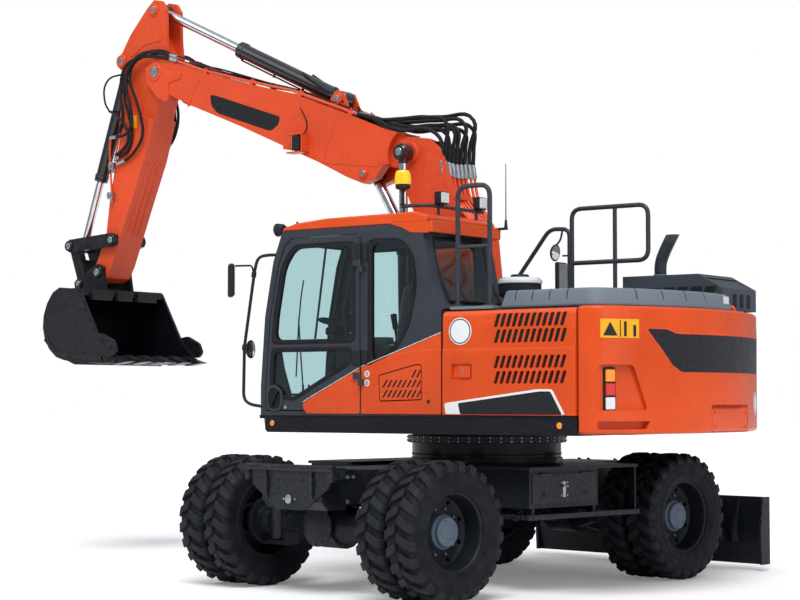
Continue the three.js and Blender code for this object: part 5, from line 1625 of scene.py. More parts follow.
    def _exhaust(self) -> None:
        """Near-black slot plates on the exhaust cover as painted shade of its louvres, and the bent outlet
        pipe.
        """
        # Flat near-black plates in the shape of louvre slots: painted shade, the cover itself is not cut.
        slots = []
        for index in range(5):
            x = -1270 - index * 124
            slots.append(Bench.plate("slot", Draw.soft([(x, 2290), (x - 96, 2290), (x - 118, 2340),
                                                        (x - 22, 2340)], 10, 3),
                                     -424, -417.5, Plane.XZ, 0))
        for index in range(3):
            y = -900 + index * 120
            slots.append(Bench.plate("slot",
                                     Draw.soft([(y, 2176), (y + 62, 2176), (y + 62, 2282), (y, 2282)], 10, 3),
                                     -1932.5, -1927, Plane.YZ, 0))
        self.group("exhaust_louvre_shade", slots, "upper", Finish.VENT)
        route = Bench.bent([(-1200, -760, 2440), (-1200, -760, 2560), (-1236, -760, 2650),
                            (-1330, -760, 2815)], 90, 8)
        pipe = Bench.tube("exhaust_outlet", route, 50, 32, False)
        cutter = Bench.block("cutter", (-1500, -900, 2790), (-1100, -600, 3000), 0)
        Bench.cut(pipe, cutter)
        bore = Bench.rod("bore", (-1290, -760, 2745), (-1352, -760, 2853), 45, 24, 0)
        Bench.cut(pipe, bore)
        self.fit(pipe, "upper", Finish.CHARCOAL, "exhaust_pipe")
        flange = Bench.turned("exhaust_flange", [(50, 0), (78, 0), (78, 8), (58, 12), (56, 30), (50, 30)],
                              (-1200, -760, 2440), (0, 0, 1), 32)
        self.fit(flange, "upper", Finish.HOOD)

    def _cleaner(self) -> None:
        """Air pre-cleaner on the deck beside the hood."""
        centre = (-690, 560, 2150)
        bowl = [(0, 90), (70, 90), (74, 60), (84, 0), (96, 0), (92, 66), (98, 84), (150, 96), (166, 112),
                (168, 190), (160, 196), (0, 196)]
        self.fit(Bench.turned("air_cleaner_bowl", bowl, centre, (0, 0, 1), 44, 2), "upper", Finish.PLASTIC)
        lid = [(0, 196), (172, 196), (176, 202), (174, 222), (150, 244), (60, 252), (0, 252)]
        self.fit(Bench.turned("air_cleaner_lid", lid, centre, (0, 0, 1), 44, 2), "upper", Finish.CLEAR)
        cap = [(0, 252), (70, 250), (74, 256), (66, 270), (0, 272)]
        self.fit(Bench.turned("air_cleaner_cap", cap, centre, (0, 0, 1), 30, 2), "upper", Finish.PLASTIC)

    def _rails(self) -> None:
        """Hand rails with bolted feet, braces and mirrors."""
        low = 2150
        left = [Bench.tube("rail", Bench.bent([(-535, 1180, low), (-535, 1180, 3060), (-825, 1180, 3060),
                                               (-825, 1180, low)], 90, 6), 19, 16, False),
                Bench.tube("bar", [(-535, 1180, 2600), (-825, 1180, 2600)], 15, 14, False)]
        rear = [Bench.tube("rail", Bench.bent([(-590, -380, low), (-590, -380, 3010), (-1300, -380, 3010),
                                               (-1300, -380, 2566), (-590, -380, 2566)], 90, 6), 19, 16,
                                               False),
                Bench.tube("bar", [(-995, -380, low), (-995, -380, 3010)], 18, 14, False)]
        right = [Bench.tube("rail", Bench.bent([(690, -1160, 2101), (690, -1160, 2220), (110, -1160, 2940),
                                                (-90, -1160, 2930), (-90, -1160, 2101)], 70, 6), 19, 16,
                                                False),
                 Bench.tube("brace", [(470, -1160, 2492), (300, -1160, 2110)], 15, 14, False),
                 Bench.tube("stem", Bench.bent([(-20, -1160, 2930), (0, -1160, 2840), (40, -1160, 2800)], 30),
                            9, 10, False),
                 Bench.tube("stem", [(-90, -1160, 2700), (-20, -1160, 2700)], 9, 10, False)]
        for pieces, places in ((left, ((-535, 1180), (-825, 1180))), (rear, ((-590, -380), (-995, -380))),
                               (right, ((690, -1160), (-90, -1160), (300, -1160)))):
            base = 2102 if pieces is right else 2149
            for x, y in places:
                pieces.append(Bench.block("foot", (x - 42, y - 32, base), (x + 42, y + 32, base + 12), 4, 2))
                for dx in (-28, 28):
                    pieces.append(Bench.rod("bolt", (x + dx, y, base + 10), (x + dx, y, base + 24), 9, 6, 2))
        self.group("rail_left_tubes", left, "upper", Finish.CHARCOAL, "rail_left")
        self.group("rail_rear_tubes", rear, "upper", Finish.CHARCOAL, "rail_rear")
        self.group("rail_right_tubes", right, "upper", Finish.CHARCOAL, "rail_right")
        back = Bench.turned("round_mirror_shell", [(0, 26), (60, 22), (74, 8), (76, 0), (70, -2), (0, -2)],
                            (52, -1160, 2730), (0.85, 0, 0.1), 36, 1)
        self.fit(back, "upper", Finish.PLASTIC)
        face = Bench.turned("round_mirror_face", [(0, -10), (40, -7), (68, -1), (68, 2), (0, 2)],
                            (52, -1160, 2730), (0.85, 0, 0.1), 36)
        self.fit(face, "upper", Finish.MIRROR)
        self.fit(Bench.block("tall_mirror_shell", (-16, -1250, 2400), (22, -1090, 2645), 14, 3), "upper",
                 Finish.PLASTIC)
        self.fit(Bench.block("tall_mirror_face", (-22, -1240, 2412), (-14, -1100, 2633), 8, 2), "upper",
                 Finish.MIRROR)


@dataclass
class Cab(Assembly):
    """Windows, orange side panels, trim, lamps, mirrors and the operator's place.

    Attributes:
        face: Outer face of the cab's left wall.
        wall: Thickness of the walls.
        door_upper: Outline of the door's upper window.
        door_lower: Outline of the door's lower window.
        quarter: Outline of the window behind the door.
        right: Outline of the right window.
    """

    face: float = 1258.0
    wall: float = 45.0
    door_upper: Outline = ((400, 1905), (400, 2680), (1010, 2680), (1130, 2520), (1210, 2110), (1228, 1905))
    door_lower: Outline = ((430, 1850), (1232, 1850), (1250, 1560), (1190, 1480), (1010, 1450), (430, 1740))
    quarter: Outline = ((250, 1700), (250, 2690), (-60, 2680), (-170, 2560), (-200, 2320), (-130, 2010),
                        (0, 1830))
    right: Outline = ((-180, 1900), (1190, 1560), (1180, 2200), (1090, 2560), (1000, 2700), (-140, 2700))

    def build(self) -> None:
        """Models the cab in order."""
        self._windows()
        self._panels()
        self._door_trim()
        self._roof()
        self._lamps()
        self._mirrors()
        self._seat()
        self._controls()

    def _window(self, name: str, outline: Outline, body: str, inner: float, outer: float, corner: float = 70,
                width: float = 24) -> None:
        """Seal and pane of a flat side window.

        Args:
            name: Stem of the pieces' names.
            outline: Opening in the wall.
            body: Body that the window rides on.
            inner: Inner face of the seal.
            outer: Outer face of the seal.
            corner: Round of the pane's corners.
            width: Width of the seal inside the opening.
        """
        seal = Bench.plate(name + "_seal", Draw.soft(Draw.inset(outline, -12), corner, 5), inner, outer,
                           Plane.XZ, 3, 2)
        hole = Bench.plate("hole", Draw.soft(Draw.inset(outline, width), corner, 5), inner - 30, outer + 30,
                           Plane.XZ, 0)
        self.fit(Bench.cut(seal, hole), body, Finish.SEAL)
        middle = (inner + outer) / 2
        pane = Bench.plate(name + "_pane", Draw.soft(Draw.inset(outline, width - 8), corner, 5), middle - 3,
                           middle + 3, Plane.XZ, 0)
        self.fit(pane, body, Finish.GLASS)

    def _windows(self) -> None:
        """All the windows of the cab."""
        low, high = self.face - self.wall + 8, self.face + 4
        self._window("door_upper", self.door_upper, "cab_door", low, high)
        self._window("door_lower", self.door_lower, "cab_door", low, high, 46, 20)
        self._window("quarter", self.quarter, "upper", low, high, 80)
        self._window("right", self.right, "upper", 331, 372, 80)
        # Dark sheet just inside the front of the lower door window: painted shade of the cab's interior seen
        # through the pane.
        shade_wedge = Draw.soft([(1216, 1842), (1150, 1842), (1120, 1700), (1040, 1475), (1190, 1494),
                           (1238, 1560)], 20)
        self.fit(Bench.plate("door_lower_shade_sheet", shade_wedge, self.face - 26, self.face - 20, Plane.XZ, 0),
                 "cab_door", Finish.SEAL)
        front = [(1346, 1492), (1347, 1562), (1305, 2120), (1220, 2560), (1164, 2712)]
        self._bowed("windscreen", front, 432, 1161)
        self._bowed("rear_window", [(-444, 2200), (-330, 2404), (-262, 2735)], 452, 1141)
        blade = Bench.tube("slider", [(692, 1236, 2690), (806, 1236, 1932)], 9, 10, False)
        self.fit(blade, "cab_door", Finish.SEAL)
        wiper = [Bench.tube("arm", [(1362, 700, 1470), (1352, 760, 1900), (1336, 800, 2120)], 7, 8, True),
                 Bench.tube("rubber", [(1362, 800, 1640), (1316, 800, 2260), (1284, 800, 2440)], 6, 8, True)]
        self.group("wiper", wiper, "upper", Finish.SEAL)

    def _bowed(self, name: str, line: Outline, left: float, right: float) -> None:
        """Pane whose section follows a line, with a seal round it.

        Args:
            name: Stem of the pieces' names.
            line: Outer face of the pane as seen from the side.
            left: One edge across the cab.
            right: The other edge across the cab.
        """
        step = 8 if line[0][0] > 0 else -8
        back = [(x - step, z) for x, z in reversed(line)]
        self.fit(Bench.plate(name + "_pane", [*line, *back], left, right, Plane.XZ, 0), "upper", Finish.GLASS)
        rim = []
        for y in (left, right):
            rim.append(Bench.tube("rim", [(x - step * 0.4, y, z) for x, z in line], 11, 10, False))
        for x, z in (line[0], line[-1]):
            rim.append(Bench.tube("rim", [(x - step * 0.4, left, z), (x - step * 0.4, right, z)], 11, 10,
                                  False))
        self.group(name + "_rim", rim, "upper", Finish.SEAL)

    def _panels(self) -> None:
        """Orange panels low on the cab's side, with the grille, a painted shade plate behind it and thin
        white lines along the upper edges as painted highlights.
        """
        y = self.face - 2
        door = Draw.soft([(912, 1420), (868, 1448), (338, 1694), (338, 1340), (868, 1340), (906, 1378)], 22,
                         4)
        skirt = Bench.plate("door_orange", door, y, y + 7, Plane.XZ, 3, 2)
        catch = Draw.soft([(352, 1490), (398, 1490), (398, 1618), (352, 1618)], 6, 2)
        groove = Bench.plate("groove", catch, y + 3, y + 20, Plane.XZ, 0)
        Bench.cut(groove, Bench.plate("inside", Draw.inset(catch, 5), y, y + 30, Plane.XZ, 0))
        Bench.cut(skirt, groove)
        self.fit(skirt, "cab_door", Finish.ORANGE)
        upper = [(322, 1704), (-434, 1952), (-434, 1338), (322, 1338)]
        panel = Bench.plate("cab_orange", Draw.soft(upper, 12, 3), y, y + 6, Plane.XZ, 3, 2)
        swell = [(322, 1338), (322, 1660), (287, 1694), (194, 1738), (43, 1788), (-88, 1812), (-260, 1826),
                 (-434, 1830), (-434, 1338)]
        lower = Bench.plate("lower", Draw.soft(swell, 12, 3), y, y + 11, Plane.XZ, 6, 3)
        frame_line = Draw.soft([(155, 1638), (98, 1654), (-209, 1722), (-262, 1716), (-262, 1446),
                                (145, 1434)], 22, 4)
        groove = Bench.plate("groove", frame_line, y + 6, y + 30, Plane.XZ, 0)
        Bench.cut(groove, Bench.plate("inside", Draw.inset(frame_line, 9), y, y + 40, Plane.XZ, 0))
        Bench.cut(lower, groove)
        tools = []
        for row in range(3):
            low = 1466 + row * 76
            for index in range(8):
                x = 118 - index * 46
                high = low + 60
                limit = 1646 + (118 - x) * 0.2 - 22
                if high < limit:
                    tools.append(Bench.plate("slot", Draw.soft([(x, low), (x - 19, low), (x - 59, high),
                                                                (x - 40, high)], 8, 3),
                                             y - 2, y + 40, Plane.XZ, 0))
        Bench.cut(lower, Bench.joined("slots", tools))
        self.fit(lower, "upper", Finish.ORANGE)
        self.fit(panel, "upper", Finish.ORANGE)
        # Near-black plate inside the panel, seen through the grille slots: painted shade behind the grille.
        self.fit(Bench.block("cab_grille_shade", (-250, y + 4, 1450), (140, y + 7, 1700), 0), "upper",
                 Finish.VENT)
        # Thin white lines along the upper edges of the cab panel and the door panel: painted highlights where
        # those edges catch the light.
        cab_highlight = Bench.tube("cab_edge_highlight", [(322, y + 7, 1708), (-434, y + 7, 1956)], 3.2, 8, False)
        self.fit(cab_highlight, "upper", Finish.WHITE)
        door_highlight = Bench.tube("door_edge_highlight", [(912, y + 7, 1428), (868, y + 7, 1454), (338, y + 7, 1700)],
                               3.2, 8, False)
        self.fit(door_highlight, "cab_door", Finish.WHITE)
        for index, (x, z) in enumerate(((262, 1650), (262, 1580))):
            disc = Bench.turned(f"round_label_{index}", [(0, 0), (25, 0), (25, 2), (0, 2)], (x, y + 11, z),
                                (0, 1, 0), 28)
            self.fit(disc, "upper", Finish.WHITE)
            dot = Bench.turned(f"round_mark_{index}", [(8, 0), (14, 0), (14, 3), (8, 3)], (x, y + 11, z),
                               (0, 1, 0), 24)
            self.fit(dot, "upper", Finish.BLACK)
        lock = Bench.turned("cab_panel_lock", [(0, 0), (13, 0), (13, 5), (0, 7)], (-322, y + 11, 1436),
                            (0, 1, 0), 20)
        self.fit(lock, "upper", Finish.BLACK)

    def _door_trim(self) -> None:
        """Handle, hinges and the pressed rib of the door."""
        y = self.face
        ring = Draw.soft([(1290, 1500), (1262, 1560), (1190, 1572), (1120, 1520), (1116, 1420), (1150, 1362),
                          (1230, 1352), (1286, 1400)], 18, 3)
        bezel = Bench.plate("handle_bezel", ring, y - 2, y + 9, Plane.XZ, 4, 2)
        Bench.cut(bezel, Bench.plate("hole", Draw.inset(ring, 22), y + 1, y + 30, Plane.XZ, 0))
        self.fit(bezel, "cab_door", Finish.CHARCOAL)
        cup = Bench.plate("handle_cup", Draw.inset(ring, 20), y - 1, y + 2.2, Plane.XZ, 0)
        self.fit(cup, "cab_door", Finish.VENT)
        grip = Bench.tube("door_handle",
                          Bench.bent([(1160, y + 1, 1530), (1170, y + 12, 1520), (1236, y + 12, 1400),
                                                     (1244, y + 1, 1392)], 12), 9, 12, False)
        self.fit(grip, "cab_door", Finish.PLASTIC)
        lock = Bench.turned("door_lock", [(0, 0), (14, 0), (14, 4), (0, 6)], (1090, y, 1392), (0, 1, 0), 20)
        self.fit(lock, "cab_door", Finish.STEEL)
        for index, (low, high) in enumerate(((2520, 2668), (1720, 1830))):
            leaf = Bench.block(f"door_hinge_leaf_{index}", (350, y - 2, low), (416, y + 9, high), 4, 2)
            self.fit(leaf, "cab_door", Finish.PLASTIC)
            post = [Bench.block("post", (262, y - 2, low), (320, y + 9, high), 4, 2),
                    Bench.rod("pin", (335, y + 14, low - 8), (335, y + 14, high + 8), 12, 18, 3)]
            self.group(f"door_hinge_post_{index}", post, "upper", Finish.PLASTIC)
        rib = Bench.tube("door_rib", Bench.bent([(440, y + 1, 1880), (1226, y + 1, 1880)], 10), 5, 8, False)
        self.fit(rib, "cab_door", Finish.CHARCOAL)
        rail = Bench.tube("door_grab", Bench.bent([(440, 1206, 1930), (440, 1176, 1960), (500, 1176, 2300),
                                                   (500, 1206, 2330)], 30), 11, 12, False)
        self.fit(rail, "cab_door", Finish.PLASTIC)

    def _roof(self) -> None:
        """Skirts of the roof, its bolts and the lamp bar with the beacon."""
        side = [(-352, 2806), (-352, 2730), (-300, 2718), (-150, 2728), (-60, 2772), (60, 2806)]
        skirts = [Bench.plate("skirt", side, 1244, 1264, Plane.XZ, 6, 3),
                  Bench.plate("skirt", side, 318, 326, Plane.XZ, 3, 2),
                  Bench.block("skirt", (-356, 322, 2722), (-334, 1262, 2812), 8, 3)]
        self.group("roof_skirts", skirts, "upper", Finish.ORANGE)
        bolts = [Bench.rod("bolt", (x, y, 2860), (x, y, z), 10, 10, 2)
                 for x, z in ((1080, 2886), (540, 2900), (40, 2904))
                 for y in (440, 1130)]
        self.group("roof_bolts", bolts, "upper", Finish.PLASTIC)
        hatch = Bench.block("roof_hatch", (330, 480, 2876), (850, 1090, 2896), 10, 3)
        self.fit(hatch, "upper", Finish.ORANGE)
        bar = [Bench.tube("bar", Bench.bent([(30, 1130, 2950), (-140, 1110, 2950), (-200, 1040, 2950),
                                             (-200, 350, 2950)], 60),
                          15, 14, False)]
        bar += [Bench.rod("leg", (-200, y, 2880), (-200, y, 2950), 12, 12, 2) for y in (440, 960)]
        bar.append(Bench.rod("leg", (10, 1126, 2880), (10, 1126, 2950), 12, 12, 2))
        self.group("lamp_bar", bar, "upper", Finish.CHARCOAL)
        for index, y in enumerate((960, 430)):
            case = [Bench.block("case", (-262, y - 58, 2962), (-196, y + 58, 3062), 12, 3),
                    Bench.block("foot", (-232, y - 26, 2945), (-196, y + 26, 2970), 5, 2)]
            self.group(f"rear_lamp_{index}", case, "upper", Finish.PLASTIC)
            lens = Bench.block(f"rear_lens_{index}", (-268, y - 50, 2972), (-256, y + 50, 3054), 8, 2)
            self.fit(lens, "upper", Finish.CLEAR)
        stem = [(0, 0), (22, 0), (22, 10), (12, 16), (12, 96), (26, 120), (52, 126), (58, 134), (58, 166),
                (0, 166)]
        self.fit(Bench.turned("beacon_base", stem, (20, 1128, 2958), (0, 0, 1), 32, 1.5), "upper",
                 Finish.PLASTIC)
        dome = [(0, 160), (62, 160), (65, 172), (62, 238), (50, 268), (0, 278)]
        self.fit(Bench.turned("beacon_dome", dome, (20, 1128, 2958), (0, 0, 1), 32, 3), "upper",
                 Finish.BEACON)
        aerial = [Bench.block("bracket", (-425, 318, 2800), (-290, 356, 2818), 3, 1),
                  Bench.rod("base", (-415, 337, 2812), (-415, 337, 2880), 15, 16, 3, 9),
                  Bench.rod("whip", (-415, 337, 2870), (-415, 337, 3330), 5, 10, 1, 3)]
        self.group("aerial", aerial, "upper", Finish.PLASTIC)

    def _lamps(self) -> None:
        """Round work lamps on the front of the roof."""
        for name, y in (("left", 1150), ("right", 420)):
            drum = [(0, 0), (34, 0), (46, 20), (50, 60), (54, 64), (54, 78), (46, 80), (0, 80)]
            made = [Bench.turned("drum", drum, (1196, y, 2832), (1, 0, -0.06), 32, 1.5),
                    Bench.block("bracket", (1090, y - 20, 2828), (1200, y + 20, 2850), 6, 2)]
            self.group("front_lamp_case_" + name, made, "upper", Finish.PLASTIC)
            lens = Bench.turned("front_lamp_lens_" + name, [(0, 79), (45, 79), (42, 86), (0, 91)],
                                (1196, y, 2832), (1, 0, -0.06), 32)
            self.fit(lens, "upper", Finish.CLEAR)

    def _mirrors(self) -> None:
        """Tube in front of the door with its two mirrors."""
        tube = Bench.tube("mirror_tube",
                          Bench.bent([(1195, 1240, 2616), (1230, 1290, 2616), (1350, 1300, 2606),
                                                     (1385, 1300, 2500), (1492, 1300, 1880),
                                                     (1500, 1300, 1460), (1440, 1296, 1412),
                                                     (1340, 1252, 1396)], 60, 6), 13, 14, False)
        arm = [Bench.tube("arm", Bench.bent([(1392, 1300, 2470), (1410, 1310, 2536), (1600, 1320, 2540)], 20),
                          8, 10, False),
               Bench.rod("clamp", (1398, 1300, 2440), (1390, 1300, 2484), 20, 14, 4),
               Bench.rod("clamp", (1494, 1300, 1850), (1490, 1300, 1896), 20, 14, 4),
               Bench.tube("arm", [(1494, 1300, 1872), (1440, 1296, 1862)], 8, 10, False)]
        self.group("mirror_frame", [tube, *arm], "upper", Finish.PLASTIC)
        shell = Bench.block("cab_mirror_shell", (1592, 1236, 2286), (1640, 1420, 2556), 18, 4)
        glass = Bench.block("cab_mirror_face", (1585, 1250, 2300), (1594, 1406, 2542), 8, 2)
        hinge = Matrix.Translation(Vector((1616, 1328, 0)) * MM)
        for piece, finish in ((shell, Finish.PLASTIC), (glass, Finish.MIRROR)):
            piece.data.transform(hinge @ Matrix.Rotation(math.radians(44), 4, "Z") @ hinge.inverted())
            self.fit(piece, "upper", finish)
        bowl = Bench.turned("wide_mirror_shell", [(0, 30), (52, 26), (72, 10), (75, 0), (70, -3), (0, -3)],
                            (1424, 1296, 1858), (1, 0.25, 0), 36, 1)
        self.fit(bowl, "upper", Finish.PLASTIC)
        face = Bench.turned("wide_mirror_face", [(0, -12), (36, -9), (66, -2), (66, 2), (0, 2)],
                            (1424, 1296, 1858), (1, 0.25, 0), 36)
        self.fit(face, "upper", Finish.MIRROR)

    @staticmethod
    def _cushion(name: str, low: Point, high: Point, crown: float = 0.4,
                 lean: float = 0.0) -> bpy.types.Object:
        """Crowned cushion, drawn from a subdivided block.

        Args:
            name: Name of the cushion.
            low: Lowest corner.
            high: Highest corner.
            crown: How round the cushion is.
            lean: How far back its top leans, in millimetres.

        Returns:
            The cushion.
        """
        Bench.clear()
        bpy.ops.mesh.primitive_cube_add(size=2.0, location=(0, 0, 0))
        made = Bench.taken(name)
        bpy.ops.object.mode_set(mode="EDIT")
        bpy.ops.mesh.select_all(action="SELECT")
        bpy.ops.mesh.subdivide(number_cuts=9)
        bpy.ops.object.mode_set(mode="OBJECT")
        middle, half = (Vector(low) + Vector(high)) / 2, (Vector(high) - Vector(low)) / 2
        for vertex in made.data.vertices:
            x, y, z = vertex.co
            soft = (x * math.sqrt(1 - y * y / 2 - z * z / 2 + y * y * z * z / 3),
                    y * math.sqrt(1 - x * x / 2 - z * z / 2 + x * x * z * z / 3),
                    z * math.sqrt(1 - x * x / 2 - y * y / 2 + x * x * y * y / 3))
            mixed = [a * (1 - crown) + b * crown for a, b in zip((x, y, z), soft)]
            mixed[0] -= lean / half.x * (mixed[2] + 1) / 2
            vertex.co = (middle + Vector(m * h for m, h in zip(mixed, half))) * MM
        return Bench.smooth(made, 180)

    def _seat(self) -> None:
        """Sprung seat with crowned cushions, arm rests and a belt reel."""
        y = 797.5
        base = 1372.4
        frame_parts = [Bench.block("box", (150, y - 170, base), (500, y + 170, base + 60), 8, 2)]
        for step in range(5):
            wide = 168 - (step % 2) * 12
            frame_parts.append(Bench.block("fold", (160 + (step % 2) * 10, y - wide, base + 58 + step * 36),
                                           (490 - (step % 2) * 10, y + wide, base + 96 + step * 36), 12, 3))
        frame_parts.append(Bench.block("pan", (80, y - 235, base + 236), (600, y + 235, base + 300), 16, 3))
        self.group("seat_base", frame_parts, "upper", Finish.PLASTIC, "operator_seat")
        bottom = self._cushion("seat_cushion", (70, y - 245, base + 288), (612, y + 245, base + 428), 0.42)
        back = self._cushion("seat_back", (96, y - 235, base + 424), (206, y + 235, base + 1000), 0.42, 92)
        head = self._cushion("seat_head", (-4, y - 140, base + 1004), (94, y + 140, base + 1142), 0.45, 24)
        for piece in (bottom, back, head):
            self.fit(piece, "upper", Finish.CLOTH)
        for name, s in SIDES:
            side = y + s * 330
            console = Bench.block("console_" + name, (110, side - 62, base + 330),
                                  (640, side + 62, base + 500), 22, 3)
            self.fit(console, "upper", Finish.PLASTIC)
            stand = Bench.block("console_stand_" + name, (200, side - 44, base + 2),
                                (460, side + 44, base + 332), 10, 2)
            self.fit(stand, "upper", Finish.PLASTIC)
            boot = [(0, 0), (52, 0), (46, 16), (34, 30), (30, 46), (20, 60), (14, 66), (0, 66)]
            stick = [Bench.turned("boot", boot, (560, side, base + 498), (0.12, 0, 1), 24, 2),
                     Bench.rod("stick", (566, side, base + 550), (584, side, base + 660), 12, 14, 3),
                     Bench.rod("grip", (582, side, base + 650), (604, side, base + 780), 22, 20, 9, 27)]
            self.group("joystick_" + name, stick, "upper", Finish.SEAL)
            rest = self._cushion("arm_rest_" + name, (120, side - 44, base + 500),
                                 (430, side + 44, base + 566), 0.35)
            self.fit(rest, "upper", Finish.CLOTH)

    def _controls(self) -> None:
        """Steering column and wheel, pedals, monitor, mat and rear shelf."""
        y = 797.5
        base = 1372.4
        column = [Bench.rod("column", (1060, y, base), (915, y, base + 640), 44, 24, 6, 36),
                  Bench.block("foot", (1000, y - 70, base), (1130, y + 70, base + 60), 12, 3),
                  Bench.block("pod", (880, y - 92, base + 600), (990, y + 92, base + 668), 20, 3)]
        self.group("steering_post", column, "upper", Finish.PLASTIC, "steering_column")
        centre = Vector((898, y, base + 698))
        axis = Vector((-0.24, 0, 1)).normalized()
        rim = Bench.turned("wheel", [(168 + 15 * math.cos(math.radians(a)), 15 * math.sin(math.radians(a)))
                                     for a in range(0, 360, 36)], centre, axis, 48)
        spokes = [Bench.rod("spoke", centre,
                            centre + Vector((math.cos(math.radians(a)) * 160, math.sin(math.radians(a)) * 160,
                                                              math.cos(math.radians(a)) * 40)), 12, 12, 3)
                  for a in (0, 120, 240)]
        cap = Bench.turned("cap", [(0, -30), (44, -30), (48, -8), (42, 10), (0, 14)], centre, axis, 28, 2)
        self.group("steering_wheel", [rim, cap, *spokes], "upper", Finish.SEAL)
        for index, side in enumerate((-150, -60, 60, 150)):
            pedal = [Bench.block("pad", (1120, y + side - 32, base + 40), (1210, y + side + 32, base + 56), 8,
                                 2),
                     Bench.rod("lever", (1168, y + side, base + 44), (1190, y + side * 0.8, base + 200), 9,
                               12, 2)]
            pedal[0].data.transform(Matrix.Translation((0, 0, 0.02 * (index % 2))))
            self.group(f"pedal_{index}", pedal, "upper", Finish.SEAL)
        self.fit(Bench.block("floor_mat", (60, 420, base), (1240, 1170, base + 6), 3, 1), "upper",
                 Finish.SEAL)
        shelf = Bench.block("rear_shelf", (-420, 400, base + 10), (-60, 1196, base + 600), 30, 3)
        self.fit(shelf, "upper", Finish.PLASTIC)
        monitor = [Bench.block("screen", (1040, 452, base + 640), (1072, 640, base + 800), 12, 3),
                   Bench.rod("arm", (1056, 545, base + 300), (1056, 545, base + 650), 14, 14, 3),
                   Bench.block("dash", (1010, 400, base + 6), (1170, 620, base + 310), 30, 3)]
        self.group("monitor", monitor, "upper", Finish.PLASTIC)
        glass = Bench.block("monitor_glass", (1034, 466, base + 656), (1042, 626, base + 786), 3, 1)
        self.fit(glass, "upper", Finish.BLACK)
        wall = Bench.plate("side_lining", Draw.soft([(-380, base + 4), (1290, base + 4), (1240, base + 110),
                                                     (1000, base + 150), (700, base + 320),
                                                     (-380, base + 390)], 30, 4), 374, 392, Plane.XZ, 4, 2)
        self.fit(wall, "upper", Finish.PLASTIC)
        lining = Bench.block("roof_lining", (-200, 400, 2764), (1040, 1196, 2786), 8, 2)
        self.fit(lining, "upper", Finish.HOOD)


